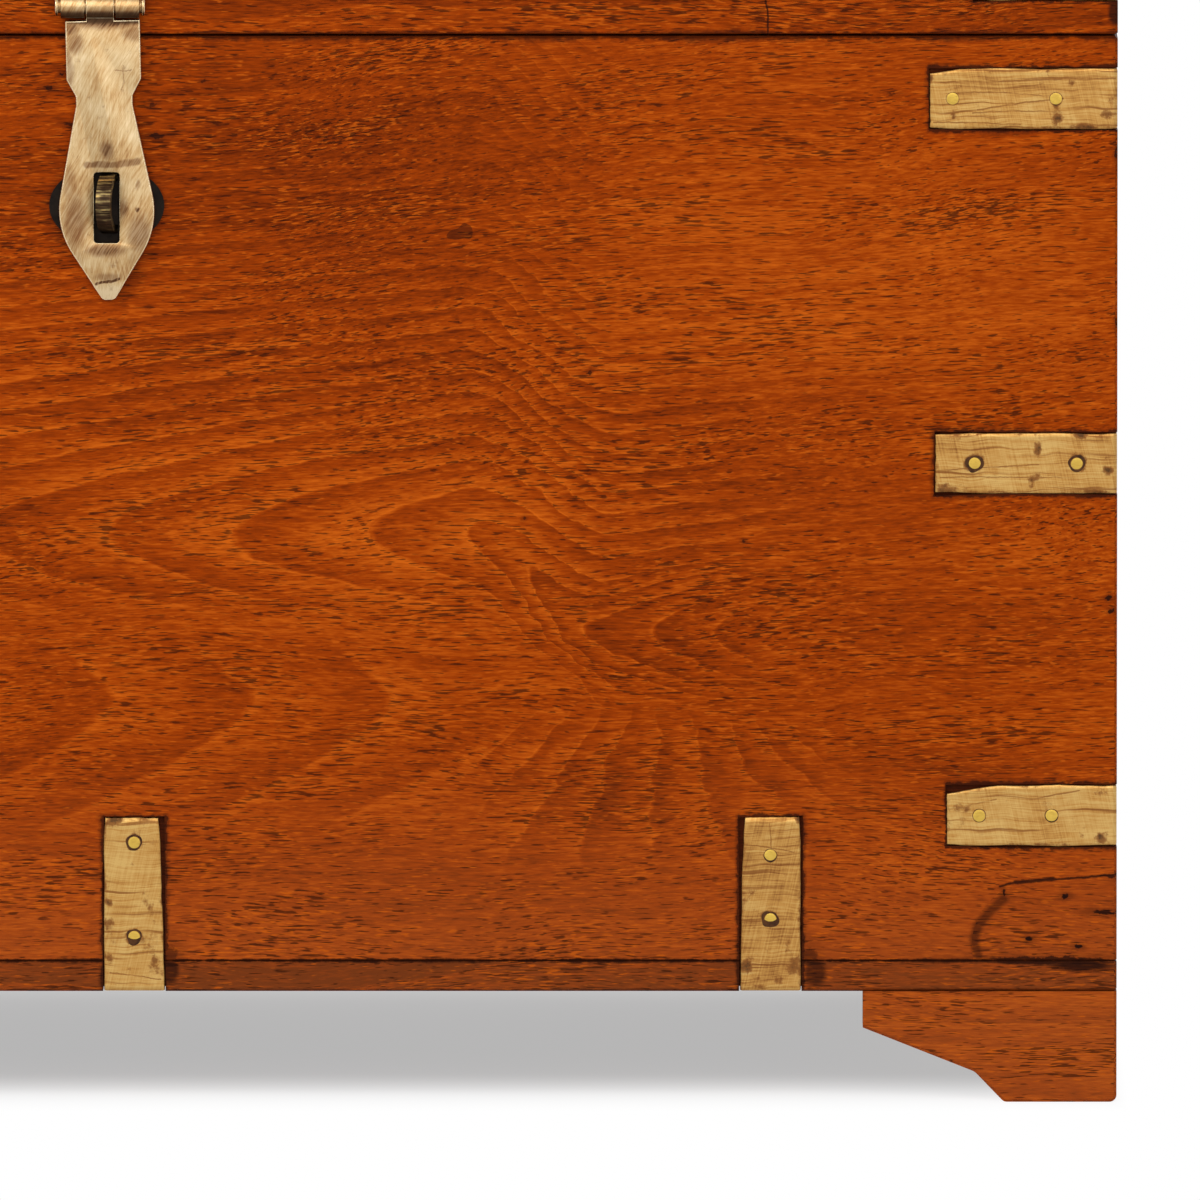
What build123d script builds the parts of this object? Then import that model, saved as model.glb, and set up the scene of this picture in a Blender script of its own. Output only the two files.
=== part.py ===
from build123d import *
from collections import namedtuple
from math import cos, radians, sin, tan
import os

# A brass-bound teak chest on bracket feet: dovetailed body, dovetailed lid frame under a plank top,
# butt hinges at the back and a hasp over a staple at the front. Millimetres, +Z up, front towards -Y.
# The origin is on the floor, at the centre of the whole outline with the staple's reach counted in.

# Overall sizes
chest_width = 850.0
chest_depth = 450.0
carcass_height = 391.0
lid_rail_height = 56.0
foot_height = 47.0

# Boards
board_thickness = 22.0
bottom_thickness = 13.0
lid_rail_thickness = 22.0
lid_top_thickness = 16.0
lid_gap = 0.8
arris = 1.2
seam_arris = 0.6
lid_arris = 1.8

# Lapped dovetails of the body and of the lid frame
dovetail_lap = 6.0
dovetail_angle = 82.0
body_tails = 6
body_tail_width = 42.0
lid_tails = 2
lid_tail_width = 17.0

# Bracket feet
foot_length = 107.0
foot_board = 20.0
foot_shoulder = 15.5
foot_ankle_out = 59.8
foot_ankle_height = 12.8
foot_toe_out = 47.5
foot_ankle_round = 6.0
foot_toe_round = 3.0
foot_block_size = 24.0
foot_block_short = 3.0

# Old repair let into the lower right corner of the front board
patch_depth = 5.0
patch_length = 47.5
patch_rise = 36.5
patch_slope = 6.5
patch_bulge = 12.5
patch_bulge_rise = 14.0

# Brass straps, let in flush
strap_width = 25.4
strap_thickness = 2.0
strap_bend = 2.0
strap_clearance = 0.5
hand_cut = 0.5
hand_cut_step = 2.4
hand_cut_first = 0.38
hand_cut_second = 0.62
top_strap_drop = 26.5
bottom_strap_rise = 61.4
middle_strap_shift = -2.5
side_strap_leg = 66.0
side_pin_places = (20.0, 52.0)
top_strap_leg = 79.0
top_pin_places = (26.0, 69.5)
middle_strap_leg = 76.5
middle_pin_places = (17.0, 60.0)
bottom_strap_leg = 71.5
bottom_pin_places = (27.5, 58.0)
edge_strap_rise = 73.5
middle_edge_pin_places = (23.0, 63.0)
outer_edge_pin_places = (30.5, 57.5)
edge_strap_under = 50.0
edge_strap_under_pin = 34.0
middle_edge_strap_x = 10.9
outer_edge_strap_x = 279.0
lid_strap_rise = 27.0
lid_strap_leg = 60.0
lid_strap_pin = 40.0
lid_edge_strap_drop = 42.0
lid_edge_strap_front_pin = 30.0
lid_edge_strap_over = 60.0
lid_edge_strap_top_pin = 46.0

# Brass pins through the straps, their heads filed to eight flats
pin_radius = 2.7
pin_flats = 8
pin_shank = 3.0
pin_depth = 9.0
pin_fit = 0.05

# Cut nails of the bottom board and of the lid's top
nail_head = 6.0
nail_head_thickness = 1.5
nail_shank = 3.0
nail_grip = 24.0
nail_fit = 0.1
nail_rows_across = 4
nail_spacing_across = 226.0
nail_spacing_deep = 220.0

# Hasp, hung from the lid's front rail
hasp_axis_rise = 12.2
hasp_barrel_radius = 5.0
hasp_sheet = 2.0
hasp_pin_fit = 0.05
hasp_centre_x = -3.0
hasp_knuckle = 11.7
hasp_side_knuckle = 9.8
hasp_knuckle_gap = 0.8
hasp_pin_overhang = 1.2
hasp_pin_head = 1.2
hasp_pin_head_radius = 4.0
hasp_leaf_width = 31.6
hasp_leaf_rise = 38.0
hasp_leaf_round = 3.0
hasp_pin_inset = 6.5
hasp_top_drop = 6.0
hasp_top_shift = 1.0
hasp_lean = 1.2
hasp_thickness = 2.6
hasp_off_wood = 1.5
hasp_shoulder_drop = 25.0
hasp_neck_drop = 32.0
hasp_neck_end_drop = 36.0
hasp_neck_width = 24.0
hasp_widest_drop = 87.0
hasp_widest = 44.2
hasp_length = 118.2
hasp_tip_width = 5.0
hasp_widest_round = 34.0
hasp_corner_round = 2.5
hasp_edge_bevel = 0.4
hasp_tip_bevel = 7.0
hasp_tip_thin = 1.2
slot_width = 10.8
slot_height = 29.9
slot_top_drop = 64.2
slot_round = 1.5

# Staple through the front board, and the plate behind it
staple_reach = 16.0
staple_height = 25.1
staple_headroom = 0.6
staple_width = 6.2
staple_bar = 3.0
staple_x = 0.9
staple_turn = 10.0
staple_clinch = 12.0
staple_fit = 0.35
plate_half_width = 24.2
plate_half_height = 17.0
plate_thickness = 1.2
plate_drop = 1.1

# Butt hinges let into the back edges; the bevels behind the pin stop the open lid
hinge_x = 230.0
hinge_length = 70.0
hinge_knuckles = 3
hinge_knuckle_gap = 0.3
hinge_inset = 5.0
hinge_barrel_radius = 4.5
hinge_pin_radius = 2.0
hinge_pin_fit = 0.05
hinge_leaf_depth = 14.0
hinge_leaf_thickness = 2.0
hinge_leaf_gap = 0.3
hinge_recess_fit = 0.2
hinge_barrel_room = 0.5
lid_opening = 100.0
screw_spacing = 40.0
screw_radius = 1.4
screw_head_radius = 2.6
screw_length = 14.0
screw_fit = 0.05
screw_flats = 8

# Places worked out from the sizes above
front = (staple_reach - chest_depth) / 2
back = front + chest_depth
middle = (front + back) / 2
side = chest_width / 2
carcass_bottom = foot_height + bottom_thickness
carcass_top = carcass_bottom + carcass_height
lid_bottom = carcass_top + lid_gap
lid_rail_top = lid_bottom + lid_rail_height
lid_height = lid_rail_top + lid_top_thickness
hasp_axis_z = lid_bottom + hasp_axis_rise
hasp_axis_y = front - hasp_barrel_radius
hasp_bore = hasp_barrel_radius - hasp_sheet
hasp_left = hasp_centre_x - hasp_knuckle / 2 - hasp_knuckle_gap - hasp_side_knuckle
hasp_right = hasp_centre_x + hasp_knuckle / 2 + hasp_knuckle_gap + hasp_side_knuckle
hasp_top_z = hasp_axis_z - hasp_top_drop
staple_z = hasp_top_z - slot_top_drop - staple_headroom - staple_height / 2
top_strap_z = carcass_top - top_strap_drop
bottom_strap_z = carcass_bottom + bottom_strap_rise
middle_strap_z = (top_strap_z + bottom_strap_z) / 2 + middle_strap_shift
hinge_y = back - hinge_inset
hinge_z = (carcass_top + lid_bottom) / 2
stop_bevel = hinge_inset * tan(radians(lid_opening / 2))

# Planes whose normals point out of the wood, at the depth of the straps' inner faces
front_plane = Plane.XZ.offset(-front - strap_thickness)
side_plane = Plane.YZ.offset(side - strap_thickness)
under_plane = Plane(
    origin=(0, 0, foot_height + strap_thickness), x_dir=(1, 0, 0), z_dir=(0, 0, -1)
)
over_plane = Plane.XY.offset(lid_height - strap_thickness)

# A strap's leg runs from its bend along a direction in its plane; pins are measured from the bend
Leg = namedtuple("Leg", "plane start direction length pins")

os.makedirs("parts", exist_ok=True)


def write(name, piece):
    """Label a finished piece and write it as its own STEP file."""
    piece.part.label = name
    export_step(piece.part, f"parts/{name}.step")


def leg_outline(leg, number, spare):
    """A leg's outline, a little out of true as sheared and filed by hand."""
    along = Vector(*leg.direction)
    across = Vector(-along.Y, along.X)
    start = Vector(*leg.start)
    half = strap_width / 2
    straight = 2 * strap_bend
    waver = [hand_cut * sin(hand_cut_step * (number + step)) for step in range(5)]
    with BuildSketch(leg.plane) as outline:
        with BuildLine():
            Polyline(
                start - across * half,
                start + along * straight - across * half,
                start + along * (hand_cut_first * leg.length) - across * (half + waver[0]),
                start + along * (leg.length - waver[4]) - across * (half - waver[1]),
                start + along * (leg.length + waver[4]) + across * (half + waver[2]),
                start + along * (hand_cut_second * leg.length) + across * (half + waver[3]),
                start + along * straight + across * half,
                start + across * half,
                close=True,
            )
        make_face()
        if spare:
            offset(amount=spare, kind=Kind.INTERSECTION)
    return outline.sketch


def pin_points(leg):
    """Centres of a leg's pins, in the leg's plane."""
    along = Vector(*leg.direction)
    return [Vector(*leg.start) + along * distance for distance in leg.pins]


def make_strap(legs, bend_axis, bend_point, number):
    """A bent strap of two legs with its pin holes."""
    with BuildPart() as strap:
        for leg in legs:
            extrude(leg_outline(leg, number, 0), amount=strap_thickness)
        bend = strap.edges().filter_by(bend_axis).sort_by_distance(bend_point)[0]
        fillet(bend, strap_bend)
        for leg in legs:
            with BuildSketch(leg.plane):
                with Locations(*pin_points(leg)):
                    RegularPolygon(pin_radius, pin_flats)
            extrude(amount=strap_thickness, mode=Mode.SUBTRACT)
    return strap


def make_recess(legs, number):
    """The room that a strap and its pins' shanks need in the wood."""
    with BuildPart() as recess:
        for leg in legs:
            extrude(leg_outline(leg, number, strap_clearance), amount=strap_thickness * 2)
        for leg in legs:
            with BuildSketch(leg.plane):
                with Locations(*pin_points(leg)):
                    Rectangle(pin_shank + 2 * pin_fit, pin_shank + 2 * pin_fit)
            extrude(amount=-pin_depth)
    return recess


def make_pins(legs):
    """The pins of one strap, as separate solids."""
    with BuildPart() as pins:
        for leg in legs:
            with BuildSketch(leg.plane):
                with Locations(*pin_points(leg)):
                    RegularPolygon(pin_radius, pin_flats)
            extrude(amount=strap_thickness)
            with BuildSketch(leg.plane):
                with Locations(*pin_points(leg)):
                    Rectangle(pin_shank, pin_shank)
            extrude(amount=-pin_depth)
    return pins


def mirrored(piece, right, at_front):
    """Turn a piece made for the front right corner into another corner's."""
    with BuildPart() as turned:
        add(piece.part)
        if not right:
            mirror(about=Plane.YZ, mode=Mode.REPLACE)
        if not at_front:
            mirror(about=Plane.XZ.offset(-middle), mode=Mode.REPLACE)
    return turned


def corner_name(right, at_front):
    """The words that name a corner in the pieces' names."""
    return f"{'front' if at_front else 'rear'}_{'right' if right else 'left'}"


def corner_legs(z, front_length, front_pins, side_length, side_pins):
    """Legs of a strap bent round the front right corner at height z."""
    return [
        Leg(front_plane, (side, z), (-1, 0), front_length, front_pins),
        Leg(side_plane, (front, z), (1, 0), side_length, side_pins),
    ]


def bottom_legs(x, pins):
    """Legs of a strap bent under the front bottom edge at x."""
    return [
        Leg(front_plane, (x, foot_height), (0, 1), edge_strap_rise, pins),
        Leg(under_plane, (x, -front), (0, -1), edge_strap_under, (edge_strap_under_pin,)),
    ]


def lid_edge_legs(x):
    """Legs of a strap bent over the lid's front top edge at x."""
    return [
        Leg(front_plane, (x, lid_height), (0, -1), lid_edge_strap_drop, (lid_edge_strap_front_pin,)),
        Leg(over_plane, (x, front), (0, 1), lid_edge_strap_over, (lid_edge_strap_top_pin,)),
    ]


def draw_tails(bottom, height, count, width, thickness):
    """Dovetail tails at both ends of a side board, in a sketch on a YZ plane."""
    length = thickness - dovetail_lap
    pitch = height / count
    heights = [bottom + pitch * (step + 0.5) for step in range(count)]
    for end_y, turn in (
        (front + dovetail_lap + length / 2, -90),
        (back - dovetail_lap - length / 2, 90),
    ):
        with Locations(*[(end_y, z) for z in heights]):
            Trapezoid(width, length, dovetail_angle, rotation=turn)


def make_wide_board(at_front, bottom, height, thickness, count, tail_width):
    """A front or back board over the full width, with lapped sockets at both ends."""
    outer = front if at_front else back
    inward = 1 if at_front else -1
    with BuildPart() as board:
        with BuildSketch(Plane.XY.offset(bottom)):
            with Locations((0, outer + inward * thickness / 2)):
                Rectangle(chest_width, thickness)
        extrude(amount=height)
        inner_face = board.faces().sort_by(Axis.Y)[-1 if at_front else 0]
        outside = board.edges() - inner_face.edges()
        chamfer(outside - outside.group_by(Axis.Z)[0], arris)
        inner_line = board.edges().filter_by(Axis.X).group_by(Axis.Y)[-1 if at_front else 0]
        chamfer(board.edges().group_by(Axis.Z)[0] - inner_line, seam_arris)
        for start in (-side, side - thickness):
            with BuildSketch(Plane.YZ.offset(start)):
                draw_tails(bottom, height, count, tail_width, thickness)
            extrude(amount=thickness, mode=Mode.SUBTRACT)
    return board


def make_side_board(right, bottom, height, thickness, count, tail_width):
    """A side board between the wide boards, its tails lapped into them."""
    start = side - thickness if right else -side
    with BuildPart() as board:
        with BuildSketch(Plane.YZ.offset(start)):
            with Locations((middle, bottom + height / 2)):
                Rectangle(chest_depth - 2 * thickness, height)
        extrude(amount=thickness)
        outer_face = board.faces().sort_by(Axis.X)[-1 if right else 0]
        long_edges = outer_face.edges().filter_by(Axis.Y).sort_by(Axis.Z)
        chamfer(long_edges[-1], arris)
        chamfer(board.edges().filter_by(Axis.Y).sort_by_distance(long_edges[0].center())[0], seam_arris)
        with BuildSketch(Plane.YZ.offset(start)):
            draw_tails(bottom, height, count, tail_width, thickness)
        extrude(amount=thickness)
    return board


def make_flat_board(bottom, thickness, upper_arris, lower_arris):
    """A board over the whole plan, as at the bottom and on the lid."""
    with BuildPart() as board:
        with BuildSketch(Plane.XY.offset(bottom)):
            with Locations((0, middle)):
                Rectangle(chest_width, chest_depth)
        extrude(amount=thickness)
        chamfer(board.edges().filter_by(Axis.Z), arris)
        chamfer(board.edges().group_by(Axis.Z)[-1], upper_arris)
        chamfer(board.edges().group_by(Axis.Z)[0], lower_arris)
    return board


def cut_away(piece, tools):
    """A board with its recesses and holes cut."""
    with BuildPart() as cut:
        add(piece.part)
        for tool in tools:
            add(tool.part, mode=Mode.SUBTRACT)
    return cut


def nail_places():
    """Nail centres over the middles of the four boards that they are driven into."""
    across = nail_spacing_across * (nail_rows_across - 1) / 2
    rows = [-across + nail_spacing_across * step for step in range(nail_rows_across)]
    along_y = (front + board_thickness / 2, back - board_thickness / 2)
    along_x = (board_thickness / 2 - side, side - board_thickness / 2)
    places = [(x, y) for y in along_y for x in rows]
    places += [(x, middle + turn * nail_spacing_deep / 2) for x in along_x for turn in (-1, 1)]
    return places


def make_nails(surface, thickness, direction, spare):
    """Square cut nails driven in the given vertical direction, or their holes if spare is given."""
    with BuildPart() as nails:
        with BuildSketch(Plane.XY.offset(surface)):
            with Locations(*nail_places()):
                Rectangle(nail_head + 2 * spare, nail_head + 2 * spare)
        extrude(amount=direction * nail_head_thickness)
        with BuildSketch(Plane.XY.offset(surface)):
            with Locations(*nail_places()):
                Rectangle(nail_shank + 2 * spare, nail_shank + 2 * spare)
        extrude(amount=direction * (thickness + nail_grip))
    return nails


def foot_points(corner, sign):
    """A bracket foot's corners; corner is its outer end and sign points to its inner end."""
    return [
        (corner, foot_height),
        (corner + sign * foot_length, foot_height),
        (corner + sign * foot_length, foot_height - foot_shoulder),
        (corner + sign * foot_ankle_out, foot_ankle_height),
        (corner + sign * foot_toe_out, 0),
        (corner, 0),
    ]


def make_front_foot():
    """The front right foot's front bracket, which covers the side bracket's end."""
    with BuildPart() as bracket:
        with BuildSketch(Plane.XZ.offset(-front - foot_board)) as outline:
            with BuildLine():
                Polyline(*foot_points(side, -1), close=True)
            make_face()
            corners = outline.vertices().sort_by_distance((side - foot_ankle_out, foot_ankle_height))
            fillet(corners[0], foot_ankle_round)
            base = outline.vertices().group_by(Axis.Y)[0]
            fillet(base, foot_toe_round)
        extrude(amount=foot_board)
        upright = bracket.edges().filter_by(Axis.Z).sort_by_distance((side, front, foot_height / 2))[0]
        chamfer(upright, arris)
    return bracket


def make_side_foot():
    """The front right foot's side bracket, butted against the front one."""
    with BuildPart() as bracket:
        with BuildSketch(Plane.YZ.offset(side - foot_board)) as outline:
            with BuildLine():
                Polyline(*foot_points(front, 1), close=True)
            make_face()
            corners = outline.vertices().sort_by_distance((front + foot_ankle_out, foot_ankle_height))
            fillet(corners[0], foot_ankle_round)
            toe = outline.vertices().sort_by_distance((front + foot_toe_out, 0))[0]
            fillet(toe, foot_toe_round)
        extrude(amount=foot_board)
        split(bisect_by=Plane.XZ.offset(-front - foot_board), keep=Keep.BOTTOM)
    return bracket


def make_foot_block():
    """The glue block inside the front right foot."""
    with BuildPart() as block:
        with BuildSketch(Plane.XY.offset(foot_block_short)):
            with Locations((side - foot_board, front + foot_board)):
                Rectangle(foot_block_size, foot_block_size, align=(Align.MAX, Align.MIN))
        extrude(amount=foot_height - foot_block_short)
    return block


def x_cylinder(x_from, x_to, y, z, radius, mode=Mode.ADD):
    """A cylinder along X inside the piece being made."""
    with BuildSketch(Plane.YZ.offset(x_from)) as disc:
        with Locations((y, z)):
            Circle(radius)
    extrude(disc.sketch, amount=x_to - x_from, mode=mode)


def knuckle_spans():
    """The X ranges of a butt hinge's knuckles, from left to right."""
    length = (hinge_length - hinge_knuckle_gap * (hinge_knuckles - 1)) / hinge_knuckles
    step = length + hinge_knuckle_gap
    first = hinge_x - hinge_length / 2
    return [(first + step * place, first + step * place + length) for place in range(hinge_knuckles)]


def screw_planes(upward):
    """Planes at the screws' heads in a leaf, with normals pointing out of the leaf."""
    sign = 1 if upward else -1
    face = hinge_z + sign * hinge_leaf_gap
    y = hinge_y - (hinge_barrel_radius + hinge_leaf_depth) / 2
    return [
        Plane(origin=(hinge_x + turn * screw_spacing / 2, y, face), z_dir=(0, 0, -sign))
        for turn in (-1, 1)
    ]


def make_hinge_screws(upward, spare):
    """The countersunk screws of one leaf, or their holes if spare is given."""
    with BuildPart() as screws:
        for plane in screw_planes(upward):
            with BuildSketch(plane):
                RegularPolygon(screw_head_radius + spare, screw_flats)
            with BuildSketch(plane.offset(screw_radius - screw_head_radius)):
                RegularPolygon(screw_radius + spare, screw_flats)
            loft(ruled=True)
            with BuildSketch(plane):
                RegularPolygon(screw_radius + spare, screw_flats)
            extrude(amount=-screw_length - spare)
    return screws


def make_hinge_leaf(upward):
    """A butt hinge's leaf: the upper one has the even knuckles, the lower one the odd ones."""
    spans = knuckle_spans()
    own = spans[1::2] if upward else spans[0::2]
    sign = 1 if upward else -1
    plate_reach = hinge_barrel_radius + hinge_knuckle_gap
    with BuildPart() as leaf:
        with BuildSketch(Plane.XY.offset(hinge_z + sign * hinge_leaf_gap)):
            with Locations((hinge_x, hinge_y - plate_reach)):
                Rectangle(hinge_length, hinge_leaf_depth - plate_reach, align=(Align.CENTER, Align.MAX))
            for start, end in own:
                with Locations(((start + end) / 2, hinge_y)):
                    Rectangle(end - start, hinge_leaf_depth, align=(Align.CENTER, Align.MAX))
        extrude(amount=sign * hinge_leaf_thickness)
        for start, end in own:
            x_cylinder(start, end, hinge_y, hinge_z, hinge_barrel_radius)
        bore_start = hinge_x - hinge_length / 2 - hinge_knuckle_gap
        bore_end = hinge_x + hinge_length / 2 + hinge_knuckle_gap
        bore = hinge_pin_radius + hinge_pin_fit
        x_cylinder(bore_start, bore_end, hinge_y, hinge_z, bore, Mode.SUBTRACT)
        add(make_hinge_screws(upward, screw_fit).part, mode=Mode.SUBTRACT)
    return leaf


def make_hinge_pin():
    """The pin of a butt hinge."""
    with BuildPart() as pin:
        x_cylinder(hinge_x - hinge_length / 2, hinge_x + hinge_length / 2, hinge_y, hinge_z, hinge_pin_radius)
    return pin


def make_hinge_room(upward):
    """The recess for a leaf, its barrel and its screws in a back edge."""
    sign = 1 if upward else -1
    with BuildPart() as room:
        with BuildSketch(Plane.XY.offset(hinge_z)):
            with Locations((hinge_x, hinge_y)):
                Rectangle(
                    hinge_length + 2 * hinge_recess_fit,
                    hinge_leaf_depth + hinge_recess_fit,
                    align=(Align.CENTER, Align.MAX),
                )
        extrude(amount=sign * (hinge_leaf_gap + hinge_leaf_thickness))
        half = hinge_length / 2 + hinge_barrel_room
        x_cylinder(hinge_x - half, hinge_x + half, hinge_y, hinge_z, hinge_barrel_radius + hinge_barrel_room)
        add(make_hinge_screws(upward, screw_fit).part)
    return room


def make_stop_bevel(upward):
    """The wedge cut off a back edge behind the hinge line, so that the open lid stops."""
    sign = 1 if upward else -1
    edge = lid_bottom if upward else carcass_top
    with BuildPart() as wedge:
        with BuildSketch(Plane.YZ.offset(-side)):
            with BuildLine():
                Polyline(
                    (hinge_y, edge),
                    (back, edge + sign * stop_bevel),
                    (back, edge),
                    close=True,
                )
            make_face()
        extrude(amount=chest_width)
    return wedge


# Corner straps: three at every corner, made at the front right and mirrored to the others
strap_rows = {
    "top": (top_strap_z, top_strap_leg, top_pin_places),
    "middle": (middle_strap_z, middle_strap_leg, middle_pin_places),
    "bottom": (bottom_strap_z, bottom_strap_leg, bottom_pin_places),
}

corners = [(True, True), (False, True), (True, False), (False, False)]
body_recesses = {corner: [] for corner in corners}
body_pins = []
number = 0
for row, (z, leg_length, pins) in strap_rows.items():
    for corner in corners:
        legs = corner_legs(z, leg_length, pins, side_strap_leg, side_pin_places)
        bend_point = (side, front, z)
        write(
            f"corner_strap_{corner_name(*corner)}_{row}",
            mirrored(make_strap(legs, Axis.Z, bend_point, number), *corner),
        )
        body_recesses[corner].append(mirrored(make_recess(legs, number), *corner))
        body_pins.append(mirrored(make_pins(legs), *corner))
        number += 1

with BuildPart() as corner_strap_pins:
    for pins in body_pins:
        add(pins.part)
write("corner_strap_pins", corner_strap_pins)

# Bottom straps under the front edge
bottom_recesses = []
with BuildPart() as bottom_strap_pins:
    for word, x, pins in (
        ("left", -outer_edge_strap_x, outer_edge_pin_places),
        ("middle", middle_edge_strap_x, middle_edge_pin_places),
        ("right", outer_edge_strap_x, outer_edge_pin_places),
    ):
        legs = bottom_legs(x, pins)
        strap = make_strap(legs, Axis.X, (x, front, foot_height), number)
        write(f"bottom_strap_{word}", strap)
        bottom_recesses.append(make_recess(legs, number))
        add(make_pins(legs).part)
        number += 1
write("bottom_strap_pins", bottom_strap_pins)

# Lid straps: one round every corner of the frame and two over the front edge
lid_recesses = {corner: [] for corner in corners}
lid_edge_recesses = []
with BuildPart() as lid_strap_pins:
    for corner in corners:
        z = lid_bottom + lid_strap_rise
        legs = corner_legs(z, lid_strap_leg, (lid_strap_pin,), lid_strap_leg, (lid_strap_pin,))
        write(
            f"lid_strap_{corner_name(*corner)}",
            mirrored(make_strap(legs, Axis.Z, (side, front, z), number), *corner),
        )
        lid_recesses[corner].append(mirrored(make_recess(legs, number), *corner))
        add(mirrored(make_pins(legs), *corner).part)
        number += 1
    for word, x in (("left", -outer_edge_strap_x), ("right", outer_edge_strap_x)):
        legs = lid_edge_legs(x)
        write(f"lid_edge_strap_{word}", make_strap(legs, Axis.X, (x, front, lid_height), number))
        lid_edge_recesses.append(make_recess(legs, number))
        add(make_pins(legs).part)
        number += 1
write("lid_strap_pins", lid_strap_pins)

# Hasp: the leaf on the lid, the swinging plate and the pin
wood_face = Plane.XZ.offset(-front)
with BuildPart() as hasp_leaf:
    leaf_centre = (hasp_left + hasp_right) / 2
    with BuildSketch(wood_face) as leaf_outline:
        with Locations((leaf_centre, hasp_axis_z)):
            Rectangle(hasp_leaf_width, hasp_leaf_rise, align=(Align.CENTER, Align.MIN))
        fillet(leaf_outline.vertices().group_by(Axis.Y)[-1], hasp_leaf_round)
    extrude(amount=hasp_sheet)
    show_face = hasp_leaf.faces().sort_by(Axis.Y)[0]
    chamfer(show_face.edges(), hasp_edge_bevel)
    x_cylinder(hasp_left, hasp_left + hasp_side_knuckle, hasp_axis_y, hasp_axis_z, hasp_barrel_radius)
    x_cylinder(hasp_right - hasp_side_knuckle, hasp_right, hasp_axis_y, hasp_axis_z, hasp_barrel_radius)
    x_cylinder(
        hasp_left + hasp_side_knuckle,
        hasp_right - hasp_side_knuckle,
        hasp_axis_y,
        hasp_axis_z,
        hasp_barrel_radius + hasp_knuckle_gap / 2,
        Mode.SUBTRACT,
    )
    x_cylinder(hasp_left, hasp_right, hasp_axis_y, hasp_axis_z, hasp_bore, Mode.SUBTRACT)
    rivet_points = [
        (leaf_centre + turn * (hasp_leaf_width / 2 - hasp_pin_inset), hasp_axis_z + rise)
        for turn in (-1, 1)
        for rise in (hasp_barrel_radius + hasp_pin_inset, hasp_leaf_rise - hasp_pin_inset)
    ]
    with BuildSketch(wood_face):
        with Locations(*rivet_points):
            RegularPolygon(pin_radius, pin_flats)
    extrude(amount=hasp_sheet, mode=Mode.SUBTRACT)
write("hasp_leaf", hasp_leaf)

with BuildPart() as hasp_rivets:
    with BuildSketch(wood_face):
        with Locations(*rivet_points):
            RegularPolygon(pin_radius, pin_flats)
    extrude(amount=hasp_sheet)
    with BuildSketch(wood_face):
        with Locations(*rivet_points):
            Rectangle(pin_shank, pin_shank)
    extrude(amount=-pin_depth)
write("hasp_rivets", hasp_rivets)

with BuildPart() as rivet_holes:
    with BuildSketch(wood_face):
        with Locations(*rivet_points):
            Rectangle(pin_shank + 2 * pin_fit, pin_shank + 2 * pin_fit)
    extrude(amount=-pin_depth)

with BuildPart() as hasp_pin:
    pin_left = hasp_left - hasp_pin_overhang
    pin_right = hasp_right + hasp_pin_overhang
    x_cylinder(pin_left, pin_right, hasp_axis_y, hasp_axis_z, hasp_bore - hasp_pin_fit)
    x_cylinder(pin_left - hasp_pin_head, pin_left, hasp_axis_y, hasp_axis_z, hasp_pin_head_radius)
    x_cylinder(pin_right, pin_right + hasp_pin_head, hasp_axis_y, hasp_axis_z, hasp_pin_head_radius)
write("hasp_pin", hasp_pin)

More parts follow.
